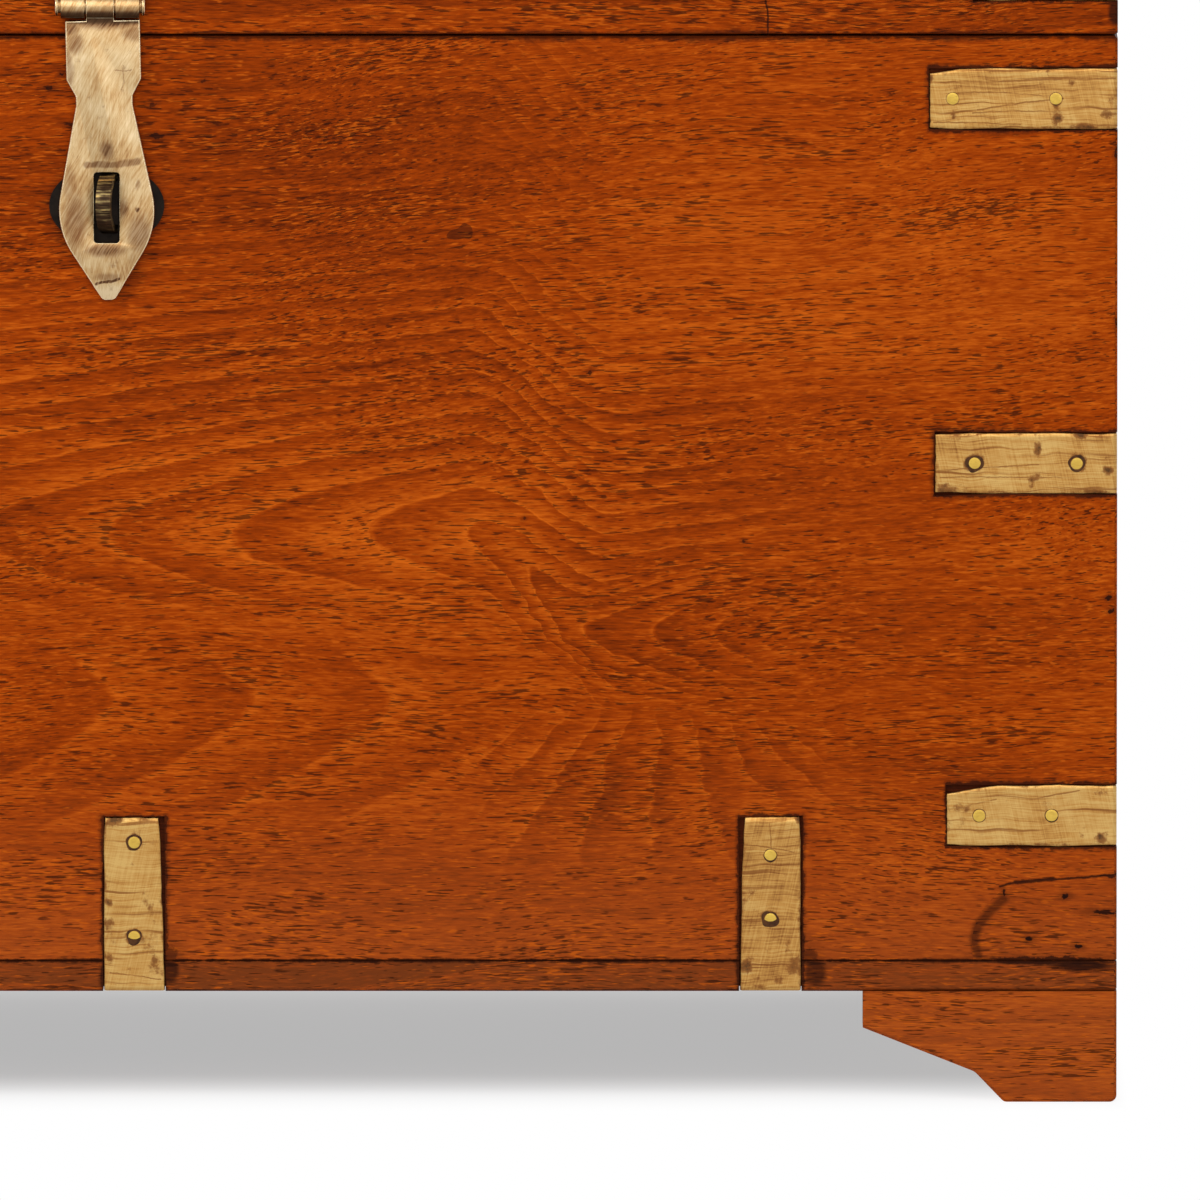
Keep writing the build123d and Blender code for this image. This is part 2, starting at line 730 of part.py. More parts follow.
# The hasp's outline hangs from the middle of its top edge and leans a little to one side
hasp_plane = Plane(
    origin=(hasp_centre_x + hasp_top_shift, front - hasp_off_wood, hasp_top_z),
    x_dir=(cos(radians(hasp_lean)), 0, sin(radians(hasp_lean))),
    z_dir=(0, -1, 0),
)
slot_plane = Plane(
    origin=(hasp_centre_x + hasp_top_shift, front - hasp_off_wood, hasp_top_z),
    x_dir=(1, 0, 0),
    z_dir=(0, -1, 0),
)
slot_x = sin(radians(hasp_lean)) * (slot_top_drop + slot_height / 2)
with BuildPart() as hasp_plate:
    half_profile = [
        (hasp_leaf_width / 2, 0),
        (hasp_leaf_width / 2, -hasp_shoulder_drop),
        (hasp_neck_width / 2, -hasp_neck_drop),
        (hasp_neck_width / 2, -hasp_neck_end_drop),
        (hasp_widest / 2, -hasp_widest_drop),
        (hasp_tip_width / 2, -hasp_length),
    ]
    with BuildSketch(hasp_plane) as outline:
        with BuildLine():
            Polyline(
                *half_profile,
                *[(-x, y) for x, y in reversed(half_profile)],
                close=True,
            )
        make_face()
        sides = outline.vertices().group_by(Axis.X)
        fillet(sides[0] + sides[-1], hasp_widest_round)
        for drop in (hasp_shoulder_drop, hasp_neck_drop, hasp_length):
            level = [v for v in outline.vertices() if abs(v.Y + drop) < hasp_edge_bevel]
            fillet(level, hasp_corner_round)
    extrude(amount=hasp_thickness)
    chamfer(hasp_plate.faces().sort_by(Axis.Y)[0].edges(), hasp_edge_bevel)
    with BuildSketch(Plane.YZ.offset(-hasp_widest)):
        tip = hasp_top_z - hasp_length
        show_y = front - hasp_off_wood - hasp_thickness
        with BuildLine():
            Polyline(
                (show_y, tip + hasp_tip_bevel),
                (show_y + hasp_thickness - hasp_tip_thin, tip),
                (show_y + hasp_thickness - hasp_tip_thin, tip - hasp_tip_bevel),
                (show_y - hasp_thickness, tip - hasp_tip_bevel),
                (show_y - hasp_thickness, tip + hasp_tip_bevel),
                close=True,
            )
        make_face()
    extrude(amount=2 * hasp_widest, mode=Mode.SUBTRACT)
    with BuildSketch(slot_plane):
        with Locations((slot_x, -slot_top_drop - slot_height / 2)):
            RectangleRounded(slot_width, slot_height, slot_round)
    extrude(amount=hasp_thickness, mode=Mode.SUBTRACT)
    knuckle_left = hasp_centre_x - hasp_knuckle / 2
    with BuildSketch(Plane.YZ.offset(knuckle_left)):
        with Locations((front - hasp_off_wood, hasp_top_z - hasp_edge_bevel * 2)):
            Rectangle(hasp_thickness, hasp_top_drop, align=(Align.MAX, Align.MIN))
        with Locations((hasp_axis_y, hasp_axis_z)):
            Circle(hasp_barrel_radius)
    extrude(amount=hasp_knuckle)
    x_cylinder(
        knuckle_left,
        knuckle_left + hasp_knuckle,
        hasp_axis_y,
        hasp_axis_z,
        hasp_bore,
        Mode.SUBTRACT,
    )
write("hasp_plate", hasp_plate)

# Staple: a half-oval loop turned a little to the left, on two legs clinched inside the front board
loop_plane = Plane(
    origin=(staple_x, front, staple_z),
    x_dir=(-sin(radians(staple_turn)), -cos(radians(staple_turn)), 0),
    z_dir=(-cos(radians(staple_turn)), sin(radians(staple_turn)), 0),
)
leg_z = [staple_z + turn * (staple_height - staple_bar) / 2 for turn in (-1, 1)]
with BuildPart() as staple:
    with BuildSketch(loop_plane):
        reach = staple_reach / cos(radians(staple_turn)) - staple_width / 2 * tan(radians(staple_turn))
        Ellipse(reach, staple_height / 2)
        Ellipse(reach - staple_bar, staple_height / 2 - staple_bar, mode=Mode.SUBTRACT)
        Rectangle(reach, staple_height, align=(Align.MAX, Align.CENTER), mode=Mode.SUBTRACT)
    extrude(amount=staple_width / 2, both=True)
    with BuildSketch(Plane.YZ.offset(staple_x)):
        for z, turn in zip(leg_z, (-1, 1)):
            with Locations((front + (board_thickness + staple_bar) / 2, z)):
                Rectangle(board_thickness + staple_bar, staple_bar)
            with Locations((front + board_thickness + staple_bar / 2, z + turn * staple_clinch / 2)):
                Rectangle(staple_bar, staple_clinch + staple_bar)
    extrude(amount=staple_width / 2, both=True)
write("staple", staple)

with BuildPart() as staple_holes:
    with BuildSketch(Plane.XZ.offset(-front - board_thickness)):
        with Locations(*[(staple_x, z) for z in leg_z]):
            Rectangle(staple_width + 2 * staple_fit, staple_bar + 2 * staple_fit)
    extrude(amount=board_thickness + plate_thickness)

with BuildPart() as staple_plate:
    with BuildSketch(Plane.XZ.offset(-front)):
        with Locations((hasp_centre_x + hasp_top_shift + slot_x, staple_z - plate_drop)):
            Ellipse(plate_half_width, plate_half_height)
    extrude(amount=plate_thickness)
    add(staple_holes.part, mode=Mode.SUBTRACT)
write("staple_plate", staple_plate)

# Carcass
bottom_nails = make_nails(foot_height, bottom_thickness, 1, 0)
bottom_nail_holes = make_nails(foot_height, bottom_thickness, 1, nail_fit)
write("bottom_nails", bottom_nails)

body_sizes = (carcass_bottom, carcass_height, board_thickness, body_tails, body_tail_width)
front_blank = make_wide_board(True, *body_sizes)
front_tools = body_recesses[(True, True)] + body_recesses[(False, True)] + bottom_recesses
front_tools += [staple_holes, bottom_nail_holes]

with BuildPart() as patch_room:
    with BuildSketch(Plane.XZ.offset(-front - patch_depth)):
        left = side - patch_length
        with BuildLine():
            beyond = side + arris
            below = carcass_bottom - arris
            lower = Line((beyond, below), (left - patch_bulge, below))
            curve = ThreePointArc(
                lower @ 1,
                (left - patch_bulge, carcass_bottom + patch_bulge_rise),
                (left, carcass_bottom + patch_rise - patch_slope),
            )
            Polyline(curve @ 1, (beyond, carcass_bottom + patch_rise), lower @ 0)
        make_face()
    extrude(amount=2 * patch_depth)

with BuildPart() as repair_patch:
    add(front_blank.part)
    add(patch_room.part, mode=Mode.INTERSECT)
write("repair_patch", repair_patch)

front_board = cut_away(front_blank, front_tools + [patch_room])
write("front_board", front_board)

back_blank = make_wide_board(False, *body_sizes)
right_hinge_room = make_hinge_room(False)
back_tools = body_recesses[(True, False)] + body_recesses[(False, False)]
back_tools += [bottom_nail_holes, make_stop_bevel(False)]
back_tools += [right_hinge_room, mirrored(right_hinge_room, False, True)]
back_board = cut_away(back_blank, back_tools)
write("back_board", back_board)

for word, right in (("left", False), ("right", True)):
    blank = make_side_board(right, *body_sizes)
    tools = body_recesses[(right, True)] + body_recesses[(right, False)] + [bottom_nail_holes]
    write(f"{word}_side", cut_away(blank, tools))

bottom_blank = make_flat_board(foot_height, bottom_thickness, seam_arris, arris)
bottom_board = cut_away(bottom_blank, bottom_recesses + [bottom_nail_holes])
write("bottom_board", bottom_board)

# Feet
front_foot = make_front_foot()
side_foot = make_side_foot()
foot_block = make_foot_block()
with BuildPart() as foot_blocks:
    for corner in corners:
        add(mirrored(foot_block, *corner).part)
write("foot_blocks", foot_blocks)
for corner in corners:
    write(f"foot_{corner_name(*corner)}_face", mirrored(front_foot, *corner))
    write(f"foot_{corner_name(*corner)}_return", mirrored(side_foot, *corner))

# Lid
lid_nails = make_nails(lid_height, lid_top_thickness, -1, 0)
lid_nail_holes = make_nails(lid_height, lid_top_thickness, -1, nail_fit)
write("lid_nails", lid_nails)
lid_top = cut_away(
    make_flat_board(lid_rail_top, lid_top_thickness, lid_arris, seam_arris),
    lid_edge_recesses + [lid_nail_holes],
)
write("lid_top", lid_top)

lid_sizes = (lid_bottom, lid_rail_height, lid_rail_thickness, lid_tails, lid_tail_width)
lid_front_blank = make_wide_board(True, *lid_sizes)
lid_front_tools = lid_recesses[(True, True)] + lid_recesses[(False, True)] + lid_edge_recesses
lid_front_rail = cut_away(lid_front_blank, lid_front_tools + [lid_nail_holes, rivet_holes])
write("lid_front_rail", lid_front_rail)

lid_back_blank = make_wide_board(False, *lid_sizes)
upper_hinge_room = make_hinge_room(True)
lid_back_tools = lid_recesses[(True, False)] + lid_recesses[(False, False)]
lid_back_tools += [lid_nail_holes, make_stop_bevel(True)]
lid_back_tools += [upper_hinge_room, mirrored(upper_hinge_room, False, True)]
lid_back_rail = cut_away(lid_back_blank, lid_back_tools)
write("lid_back_rail", lid_back_rail)

for word, right in (("left", False), ("right", True)):
    blank = make_side_board(right, *lid_sizes)
    tools = lid_recesses[(right, True)] + lid_recesses[(right, False)] + [lid_nail_holes]
    write(f"lid_{word}_rail", cut_away(blank, tools))

# Butt hinges
for word, right in (("left", False), ("right", True)):
    write(f"hinge_{word}_body_leaf", mirrored(make_hinge_leaf(False), right, True))
    write(f"hinge_{word}_lid_leaf", mirrored(make_hinge_leaf(True), right, True))
    write(f"hinge_{word}_pin", mirrored(make_hinge_pin(), right, True))
for name, upward in (("hinge_screws_body", False), ("hinge_screws_lid", True)):
    screws = make_hinge_screws(upward, 0)
    with BuildPart() as both:
        add(screws.part)
        mirror(about=Plane.YZ)
    write(name, both)
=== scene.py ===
"""Looks of a brass-bound teak chest: boards, bindings, hasp, staple, hinges, nails and the stage.

Everything is in metres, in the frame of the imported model: X along the front, Y to the back, Z up.
"""

from functools import reduce
from math import copysign, cos, pi, radians, sin

import bmesh
import bpy
from mathutils import Matrix, Vector, noise


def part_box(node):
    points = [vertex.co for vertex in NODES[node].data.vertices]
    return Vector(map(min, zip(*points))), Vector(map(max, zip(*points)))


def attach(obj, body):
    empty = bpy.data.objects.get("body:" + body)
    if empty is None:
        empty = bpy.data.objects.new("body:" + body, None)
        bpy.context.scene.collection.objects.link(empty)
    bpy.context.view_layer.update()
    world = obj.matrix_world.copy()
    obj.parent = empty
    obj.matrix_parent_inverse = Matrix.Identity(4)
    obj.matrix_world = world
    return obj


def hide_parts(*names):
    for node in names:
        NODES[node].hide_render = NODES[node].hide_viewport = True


bl_info = {
    "name": "Brass-Bound Teak Chest",
    "version": (1, 0, 0),
    "blender": (4, 5, 0),
    "location": "3D View > Sidebar > Chest",
    "description": "Finishes the boards and makes the brass bindings of a teak chest on bracket feet",
    "category": "Object",
}

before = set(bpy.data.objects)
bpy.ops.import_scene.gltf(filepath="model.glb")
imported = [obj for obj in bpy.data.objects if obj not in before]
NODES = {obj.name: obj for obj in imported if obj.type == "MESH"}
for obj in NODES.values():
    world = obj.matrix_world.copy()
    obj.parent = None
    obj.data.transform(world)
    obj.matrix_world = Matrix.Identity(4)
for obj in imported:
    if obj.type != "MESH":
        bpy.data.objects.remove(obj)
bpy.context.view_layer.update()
MM = 0.001
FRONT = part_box("front_board")[0].y
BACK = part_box("back_board")[1].y
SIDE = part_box("front_board")[1].x
BODY_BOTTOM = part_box("front_board")[0].z
BODY_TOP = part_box("front_board")[1].z
FOOT_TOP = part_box("bottom_board")[0].z
STRAP_DEPTH = 2.0 * MM
STRAP_WIDTH = 25.4 * MM
STRAP_STEP = 1.4 * MM


def colour_property(name, description, default):
    """A colour setting with its name, what it is for and its default."""
    return bpy.props.FloatVectorProperty(
        name=name, description=description, subtype="COLOR", min=0.0, max=1.0, default=default
    )


class ChestWoodSettings(bpy.types.PropertyGroup):
    """Colours and figure of the teak."""

    deep: colour_property("Deep", "Colour of the darkest bands of the teak", (0.112, 0.0135, 0.0006))
    warm: colour_property("Warm", "Colour of most of the teak", (0.334, 0.0444, 0.0006))
    pale: colour_property("Pale", "Colour of the lightest bands of the teak", (0.600, 0.1160, 0.0050))
    # Grime also paints the shade along the lid's gap and round the hasp.
    grime_and_shade: colour_property("Grime", "Colour of old wax and dirt in joints and pores", (0.016, 0.0042, 0.0022))
    dust: colour_property("Dust", "Colour the teak is dulled towards low down", (0.380, 0.120, 0.030))
    roughness: bpy.props.FloatProperty(
        name="Roughness", description="Roughness of the waxed surface", default=0.42, min=0.0, max=1.0
    )
    pores: bpy.props.FloatProperty(
        name="Pores", description="How dark the open pores are",
        subtype="FACTOR", default=0.72, min=0.0, max=1.0,
    )


class ChestBrassSettings(bpy.types.PropertyGroup):
    """Colours and hand work of the brass."""

    bright: colour_property("Bright", "Colour of rubbed brass", (0.570, 0.358, 0.118))
    plain: colour_property("Plain", "Colour of most of the brass", (0.450, 0.228, 0.058))
    tarnish: colour_property("Tarnish", "Colour of tarnished brass", (0.190, 0.066, 0.018))
    aged: colour_property("Aged", "Colour of brass gone dark", (0.052, 0.027, 0.014))
    silky: colour_property("Silky", "Colour of the hasp where it is brushed", (0.575, 0.405, 0.210))
    pin: colour_property("Pin", "Colour of the pins' softer brass", (0.640, 0.430, 0.078))
    edge_waver: bpy.props.FloatProperty(
        name="Edge waver", description="How far the straps' sheared edges wander",
        subtype="DISTANCE", unit="LENGTH", default=0.00042, min=0.0, max=0.002,
    )
    pin_radius: bpy.props.FloatProperty(
        name="Pin radius", description="Radius of the filed pin heads",
        subtype="DISTANCE", unit="LENGTH", default=0.0027, min=0.001, max=0.006,
    )


class ChestStageSettings(bpy.types.PropertyGroup):
    """Camera, floor and light."""

    view_width: bpy.props.FloatProperty(
        name="View width", description="Width of the picture at the chest's front",
        subtype="DISTANCE", unit="LENGTH", default=0.5054, min=0.1,
    )
    view_distance: bpy.props.FloatProperty(
        name="Distance", description="Distance from the camera to the chest's front",
        subtype="DISTANCE", unit="LENGTH", default=16.0, min=1.0,
    )
    view_height: bpy.props.FloatProperty(
        name="Tilt", description="How far above level the camera looks from",
        subtype="ANGLE", unit="ROTATION", default=radians(5.5),
    )
    aim: bpy.props.FloatVectorProperty(
        name="Aim", description="Point of the front that the picture is centred on",
        subtype="XYZ", unit="LENGTH", default=(0.2072, FRONT, 0.2127),
    )
    soft_power: bpy.props.FloatProperty(
        name="Soft light", description="Power of the large light in front",
        subtype="POWER", unit="POWER", default=42.0,
    )
    key_power: bpy.props.FloatProperty(
        name="Key light", description="Power of the light at the upper left",
        subtype="POWER", unit="POWER", default=22.0,
    )
    sky: bpy.props.FloatProperty(
        name="Sky", description="Strength of the even light from all round", default=0.35, min=0.0
    )
    shade: bpy.props.FloatProperty(
        name="Shade", description="Lightness of the floor in full shadow", default=0.46, min=0.0, max=1.0
    )


# Materials

NO_STRETCH = (1.0, 1.0, 1.0)
NO_SHIFT = (0.0, 0.0, 0.0)


class NodeLayout:
    """Lays out the nodes of one tree."""

    def __init__(self, tree):
        self.tree = tree

    def node(self, kind, **settings):
        """A new node with its settings."""
        made = self.tree.nodes.new(kind)
        for key, value in settings.items():
            setattr(made, key, value)
        return made

    def feed(self, socket, value):
        """Link a socket to another, or set its value."""
        if isinstance(value, bpy.types.NodeSocket):
            self.tree.links.new(value, socket)
        else:
            socket.default_value = value

    def maths(self, operation, first, second=0.0, third=0.0, clamp=False):
        """One step of arithmetic on numbers."""
        step = self.node("ShaderNodeMath", operation=operation, use_clamp=clamp)
        for socket, value in zip(step.inputs, (first, second, third)):
            self.feed(socket, value)
        return step.outputs[0]

    def total(self, first, second):
        """Two numbers added."""
        return self.maths("ADD", first, second)

    def difference(self, first, second):
        """One number less another."""
        return self.maths("SUBTRACT", first, second)

    def product(self, first, second):
        """Two numbers multiplied."""
        return self.maths("MULTIPLY", first, second)

    def larger(self, first, second):
        """The larger of two numbers."""
        return self.maths("MAXIMUM", first, second)

    def swing(self, value, share, onto=None):
        """A share of a value's swing about one half, on top of something if that is given."""
        swing = self.difference(value, 0.5)
        return self.product(swing, share) if onto is None else self.maths("MULTIPLY_ADD", swing, share, onto)

    def vector(self, operation, first, second=(0.0, 0.0, 0.0)):
        """One step of arithmetic on vectors."""
        step = self.node("ShaderNodeVectorMath", operation=operation)
        self.feed(step.inputs[0], first)
        if not step.inputs[1].is_unavailable:
            self.feed(step.inputs[1], second)
        return step.outputs["Value"] if operation == "LENGTH" else step.outputs["Vector"]

    def parts(self, vector):
        """The X, Y and Z of a vector."""
        step = self.node("ShaderNodeSeparateXYZ")
        self.feed(step.inputs[0], vector)
        return step.outputs

    def joined(self, x, y, z):
        """A vector from three numbers."""
        step = self.node("ShaderNodeCombineXYZ")
        for socket, value in zip(step.inputs, (x, y, z)):
            self.feed(socket, value)
        return step.outputs[0]

    def mapped(self, vector, scale=NO_STRETCH, turn=(0.0, 0.0, 0.0), shift=NO_SHIFT):
        """A vector scaled, then turned, then shifted."""
        step = self.node("ShaderNodeMapping")
        self.feed(step.inputs["Vector"], vector)
        step.inputs["Location"].default_value = shift
        step.inputs["Rotation"].default_value = turn
        step.inputs["Scale"].default_value = scale
        return step.outputs[0]

    def noise(self, vector, stretch=NO_STRETCH, shift=NO_SHIFT, scale=1.0, detail=2.0, roughness=0.5):
        """Smooth noise between 0 and 1, stretched and shifted."""
        if stretch != NO_STRETCH or shift != NO_SHIFT:
            vector = self.mapped(vector, stretch, shift=shift)
        step = self.node("ShaderNodeTexNoise")
        self.feed(step.inputs["Vector"], vector)
        step.inputs["Scale"].default_value = scale
        step.inputs["Detail"].default_value = detail
        step.inputs["Roughness"].default_value = roughness
        return step.outputs[0]

    def between(self, value, low, high, start=0.0, end=1.0):
        """A value's smooth rise from start at low to end at high."""
        step = self.node("ShaderNodeMapRange", interpolation_type="SMOOTHSTEP", clamp=False)
        self.feed(step.inputs["Value"], value)
        self.feed(step.inputs["From Min"], low)
        self.feed(step.inputs["From Max"], high)
        self.feed(step.inputs["To Min"], start)
        self.feed(step.inputs["To Max"], end)
        return step.outputs[0]

    def mixed(self, factor, first, second):
        """Two colours mixed."""
        step = self.node("ShaderNodeMix", data_type="RGBA")
        self.feed(step.inputs[0], factor)
        for socket, value in ((step.inputs[6], first), (step.inputs[7], second)):
            self.feed(socket, value if isinstance(value, bpy.types.NodeSocket) else (*value, 1.0))
        return step.outputs[2]

    def ramp(self, value, stops):
        """A colour for each value, from (place, colour) pairs."""
        step = self.node("ShaderNodeValToRGB")
        self.feed(step.inputs[0], value)
        marks = step.color_ramp.elements
        while len(marks) < len(stops):
            marks.new(0.5)
        for mark, (place, colour) in zip(marks, stops):
            mark.position = place
            mark.color = (*colour, 1.0)
        return step.outputs[0]

    def bump(self, height, distance, strength=0.6):
        """A normal from a height."""
        step = self.node("ShaderNodeBump")
        self.feed(step.inputs["Height"], height)
        step.inputs["Distance"].default_value = distance
        step.inputs["Strength"].default_value = strength
        return step.outputs[0]

    def nudged(self, place, loose):
        """A place moved as far in X as in Z."""
        return self.vector("ADD", place, self.joined(loose, 0.0, loose))

    def near_boxes(self, boxes, place, waver):
        """Distance to the nearest of some boxes, made uneven by a waver."""
        nearest = None
        for low, high in boxes:
            centre, half = (low + high) / 2, (high - low) / 2
            offset = self.vector("ABSOLUTE", self.vector("SUBTRACT", place, tuple(centre)))
            outside = self.vector("MAXIMUM", self.vector("SUBTRACT", offset, tuple(half)), (0.0, 0.0, 0.0))
            distance = self.vector("LENGTH", outside)
            nearest = distance if nearest is None else self.maths("MINIMUM", nearest, distance)
        return self.total(nearest, waver)

    def near_lines(self, points, place, nearest=1.0):
        """Distance to a line through some points of the XZ plane, or what was nearer before.

        Each step takes the last one's result along as Y, which nothing measures, so that few numbers
        are kept at once.
        """
        sides = self.parts(place)
        for start, end in zip(points, points[1:]):
            first = Vector((start[0], 0.0, start[1])) * MM
            run = Vector((end[0], 0.0, end[1])) * MM - first
            flat = self.joined(sides["X"], nearest, sides["Z"])
            offset = self.mapped(flat, (1.0, 0.0, 1.0), shift=tuple(-first))
            share = self.node("ShaderNodeVectorMath", operation="DOT_PRODUCT")
            self.feed(share.inputs[0], offset)
            self.feed(share.inputs[1], tuple(run / run.length_squared))
            share = self.maths("MINIMUM", self.larger(share.outputs["Value"], 0.0), 1.0)
            nearby = self.vector("MULTIPLY", self.joined(share, share, share), tuple(run))
            distance = self.vector("LENGTH", self.vector("SUBTRACT", offset, nearby))
            nearest = self.maths("MINIMUM", nearest, distance)
        return nearest

    def spots(self, places, place, edge, deepest=0.0):
        """How deep in the deepest of some ovals: (x, z, half width, half height, depth), in millimetres."""
        sides = self.parts(place)
        for x, z, wide, high, depth in places:
            size = (1.0 / (wide * MM), 0.0, 1.0 / (high * MM))
            flat = self.joined(sides["X"], deepest, sides["Z"])
            oval = self.mapped(flat, size, shift=(-x / wide, 0.0, -z / high))
            spot = self.between(self.vector("LENGTH", oval), edge, 1.0, depth, 0.0)
            deepest = self.larger(deepest, spot)
        return deepest

    def attribute(self, name):
        """A number kept on the mesh."""
        return self.node("ShaderNodeAttribute", attribute_name=name).outputs["Fac"]

    def seen_directly(self):
        """1 where the camera sees a thing itself, mirrored or through glass, and 0 for the light it gives."""
        path = self.node("ShaderNodeLightPath").outputs
        direct = self.larger(path["Is Camera Ray"], path["Is Glossy Ray"])
        return self.larger(direct, path["Is Transmission Ray"])


class Recipe(NodeLayout):
    """The nodes of one material, on Object coordinates unless told otherwise."""

    def __init__(self, name):
        self.material = bpy.data.materials.new(name)
        self.material.use_nodes = True
        super().__init__(self.material.node_tree)
        self.shader = self.tree.nodes["Principled BSDF"]
        self.place = self.node("ShaderNodeTexCoord").outputs["Object"]

    def finish(self, **inputs):
        """Set the shader's sockets by name and return the material."""
        for name, value in inputs.items():
            self.feed(self.shader.inputs[name.replace("_", " ")], value)
        return self.material


# How many rings cross a metre of each group, how its arches bow, and where the eyes of the front's figure are
STRAIGHT_RINGS = (46.0, 30.0)
ARCH_RINGS, ARCH_BOW, ARCH_NOSE = 18.3, 0.150, 0.0265
LEFT_RINGS, LEFT_BOW, LEFT_NOSE, LEFT_EYE_Z = -17.0, 0.034, 0.016, 0.171
FAN_RINGS, FAN_EYE_X, FAN_EYE_Z = 3.6, 0.2325, 0.2120


def ring_tone(recipe, rings, clearness):
    """How light a ring is: smooth and dark just after each line, paler and porous up to the next."""
    turn = recipe.maths("FRACT", rings)
    late = recipe.product(recipe.between(turn, 0.0, 0.035), recipe.between(turn, 0.05, 0.62, 1.0, 0.0))
    early = recipe.between(turn, 0.40, 0.90, 0.0, 0.55)
    line = recipe.between(turn, 0.88, 0.955, 0.0, 0.85)
    light = recipe.product(recipe.total(early, line), recipe.between(turn, 0.965, 1.0, 1.0, 0.0))
    return recipe.product(recipe.difference(light, late), clearness)


def straight_rings(recipe, grain, seed):
    """Rings of a board sawn near its quarter: nearly straight lines along the grain."""
    wander = recipe.noise(grain, (2.2, 14.0, 14.0), shift=(seed, seed, 0.0), detail=3.0)
    place = recipe.parts(grain)
    rings = recipe.product(place["Y"], STRAIGHT_RINGS[1])
    rings = recipe.maths("MULTIPLY_ADD", place["Z"], STRAIGHT_RINGS[0], rings)
    return ring_tone(recipe, recipe.maths("MULTIPLY_ADD", wander, 3.4, rings), 0.6)


def bowed(recipe, height, reach, sharpness):
    """How far an arch has moved along at some height from its nose."""
    squared = recipe.maths("POWER", recipe.maths("DIVIDE", height, sharpness), 2.0)
    root = recipe.maths("SQRT", recipe.total(squared, 1.0))
    return recipe.product(recipe.difference(root, 1.0), reach)


def within(recipe, value, low, low_full, high_full, high):
    """A window that opens from low to low_full and closes from high_full to high."""
    closing = recipe.between(value, high_full, high, 1.0, 0.0)
    return recipe.product(recipe.between(value, low, low_full), closing)


def crown_rings(recipe, wander):
    """Rings of the flat-sawn front: arches open to the right above and to the left below, with a fan."""
    place = recipe.parts(recipe.place)
    along = recipe.maths("MULTIPLY_ADD", wander, 0.016, place["X"])
    up = recipe.maths("MULTIPLY_ADD", wander, 0.010, place["Z"])

    lower = recipe.difference(up, recipe.between(along, 0.150, 0.215, 0.2405, 0.1985))
    height = recipe.maths("ABSOLUTE", lower)
    flattening = recipe.maths("POWER", recipe.maths("DIVIDE", height, 0.11), 2.0)
    slope = recipe.maths("DIVIDE", 1.0, recipe.total(flattening, 1.0))
    nose = recipe.difference(recipe.product(along, slope), bowed(recipe, height, ARCH_BOW, ARCH_NOSE))
    crowded = recipe.product(recipe.larger(recipe.difference(nose, 0.140), 0.0), 20.0)
    upper = recipe.maths("MULTIPLY_ADD", nose, ARCH_RINGS, crowded)
    clear = recipe.between(height, 0.06, 0.16, 1.0, 0.35)
    clear = recipe.product(recipe.between(lower, -0.045, -0.012), clear)
    tone = ring_tone(recipe, upper, recipe.product(clear, recipe.between(along, 0.230, 0.300, 1.0, 0.25)))

    height = recipe.difference(up, LEFT_EYE_Z)
    nose = recipe.total(along, bowed(recipe, height, LEFT_BOW, LEFT_NOSE))
    clear = within(recipe, up, 0.108, 0.130, 0.180, 0.200)
    clear = recipe.product(clear, recipe.between(along, 0.13, 0.18, 1.0, 0.0))
    left = ring_tone(recipe, recipe.product(nose, LEFT_RINGS), recipe.product(clear, 0.7))

    depth = recipe.larger(recipe.difference(FAN_EYE_Z, up), 0.01)
    lean = recipe.maths("DIVIDE", recipe.difference(along, FAN_EYE_X), depth)
    sides = recipe.maths("ABSOLUTE", recipe.difference(along, FAN_EYE_X))
    clear = within(recipe, up, 0.092, 0.118, 0.150, 0.172)
    clear = recipe.product(clear, recipe.between(sides, 0.045, 0.10, 1.0, 0.0))
    lean = recipe.maths("MULTIPLY_ADD", wander, 0.55, recipe.product(lean, FAN_RINGS))
    fan = ring_tone(recipe, lean, recipe.product(clear, 0.85))
    return recipe.total(tone, recipe.total(left, fan))


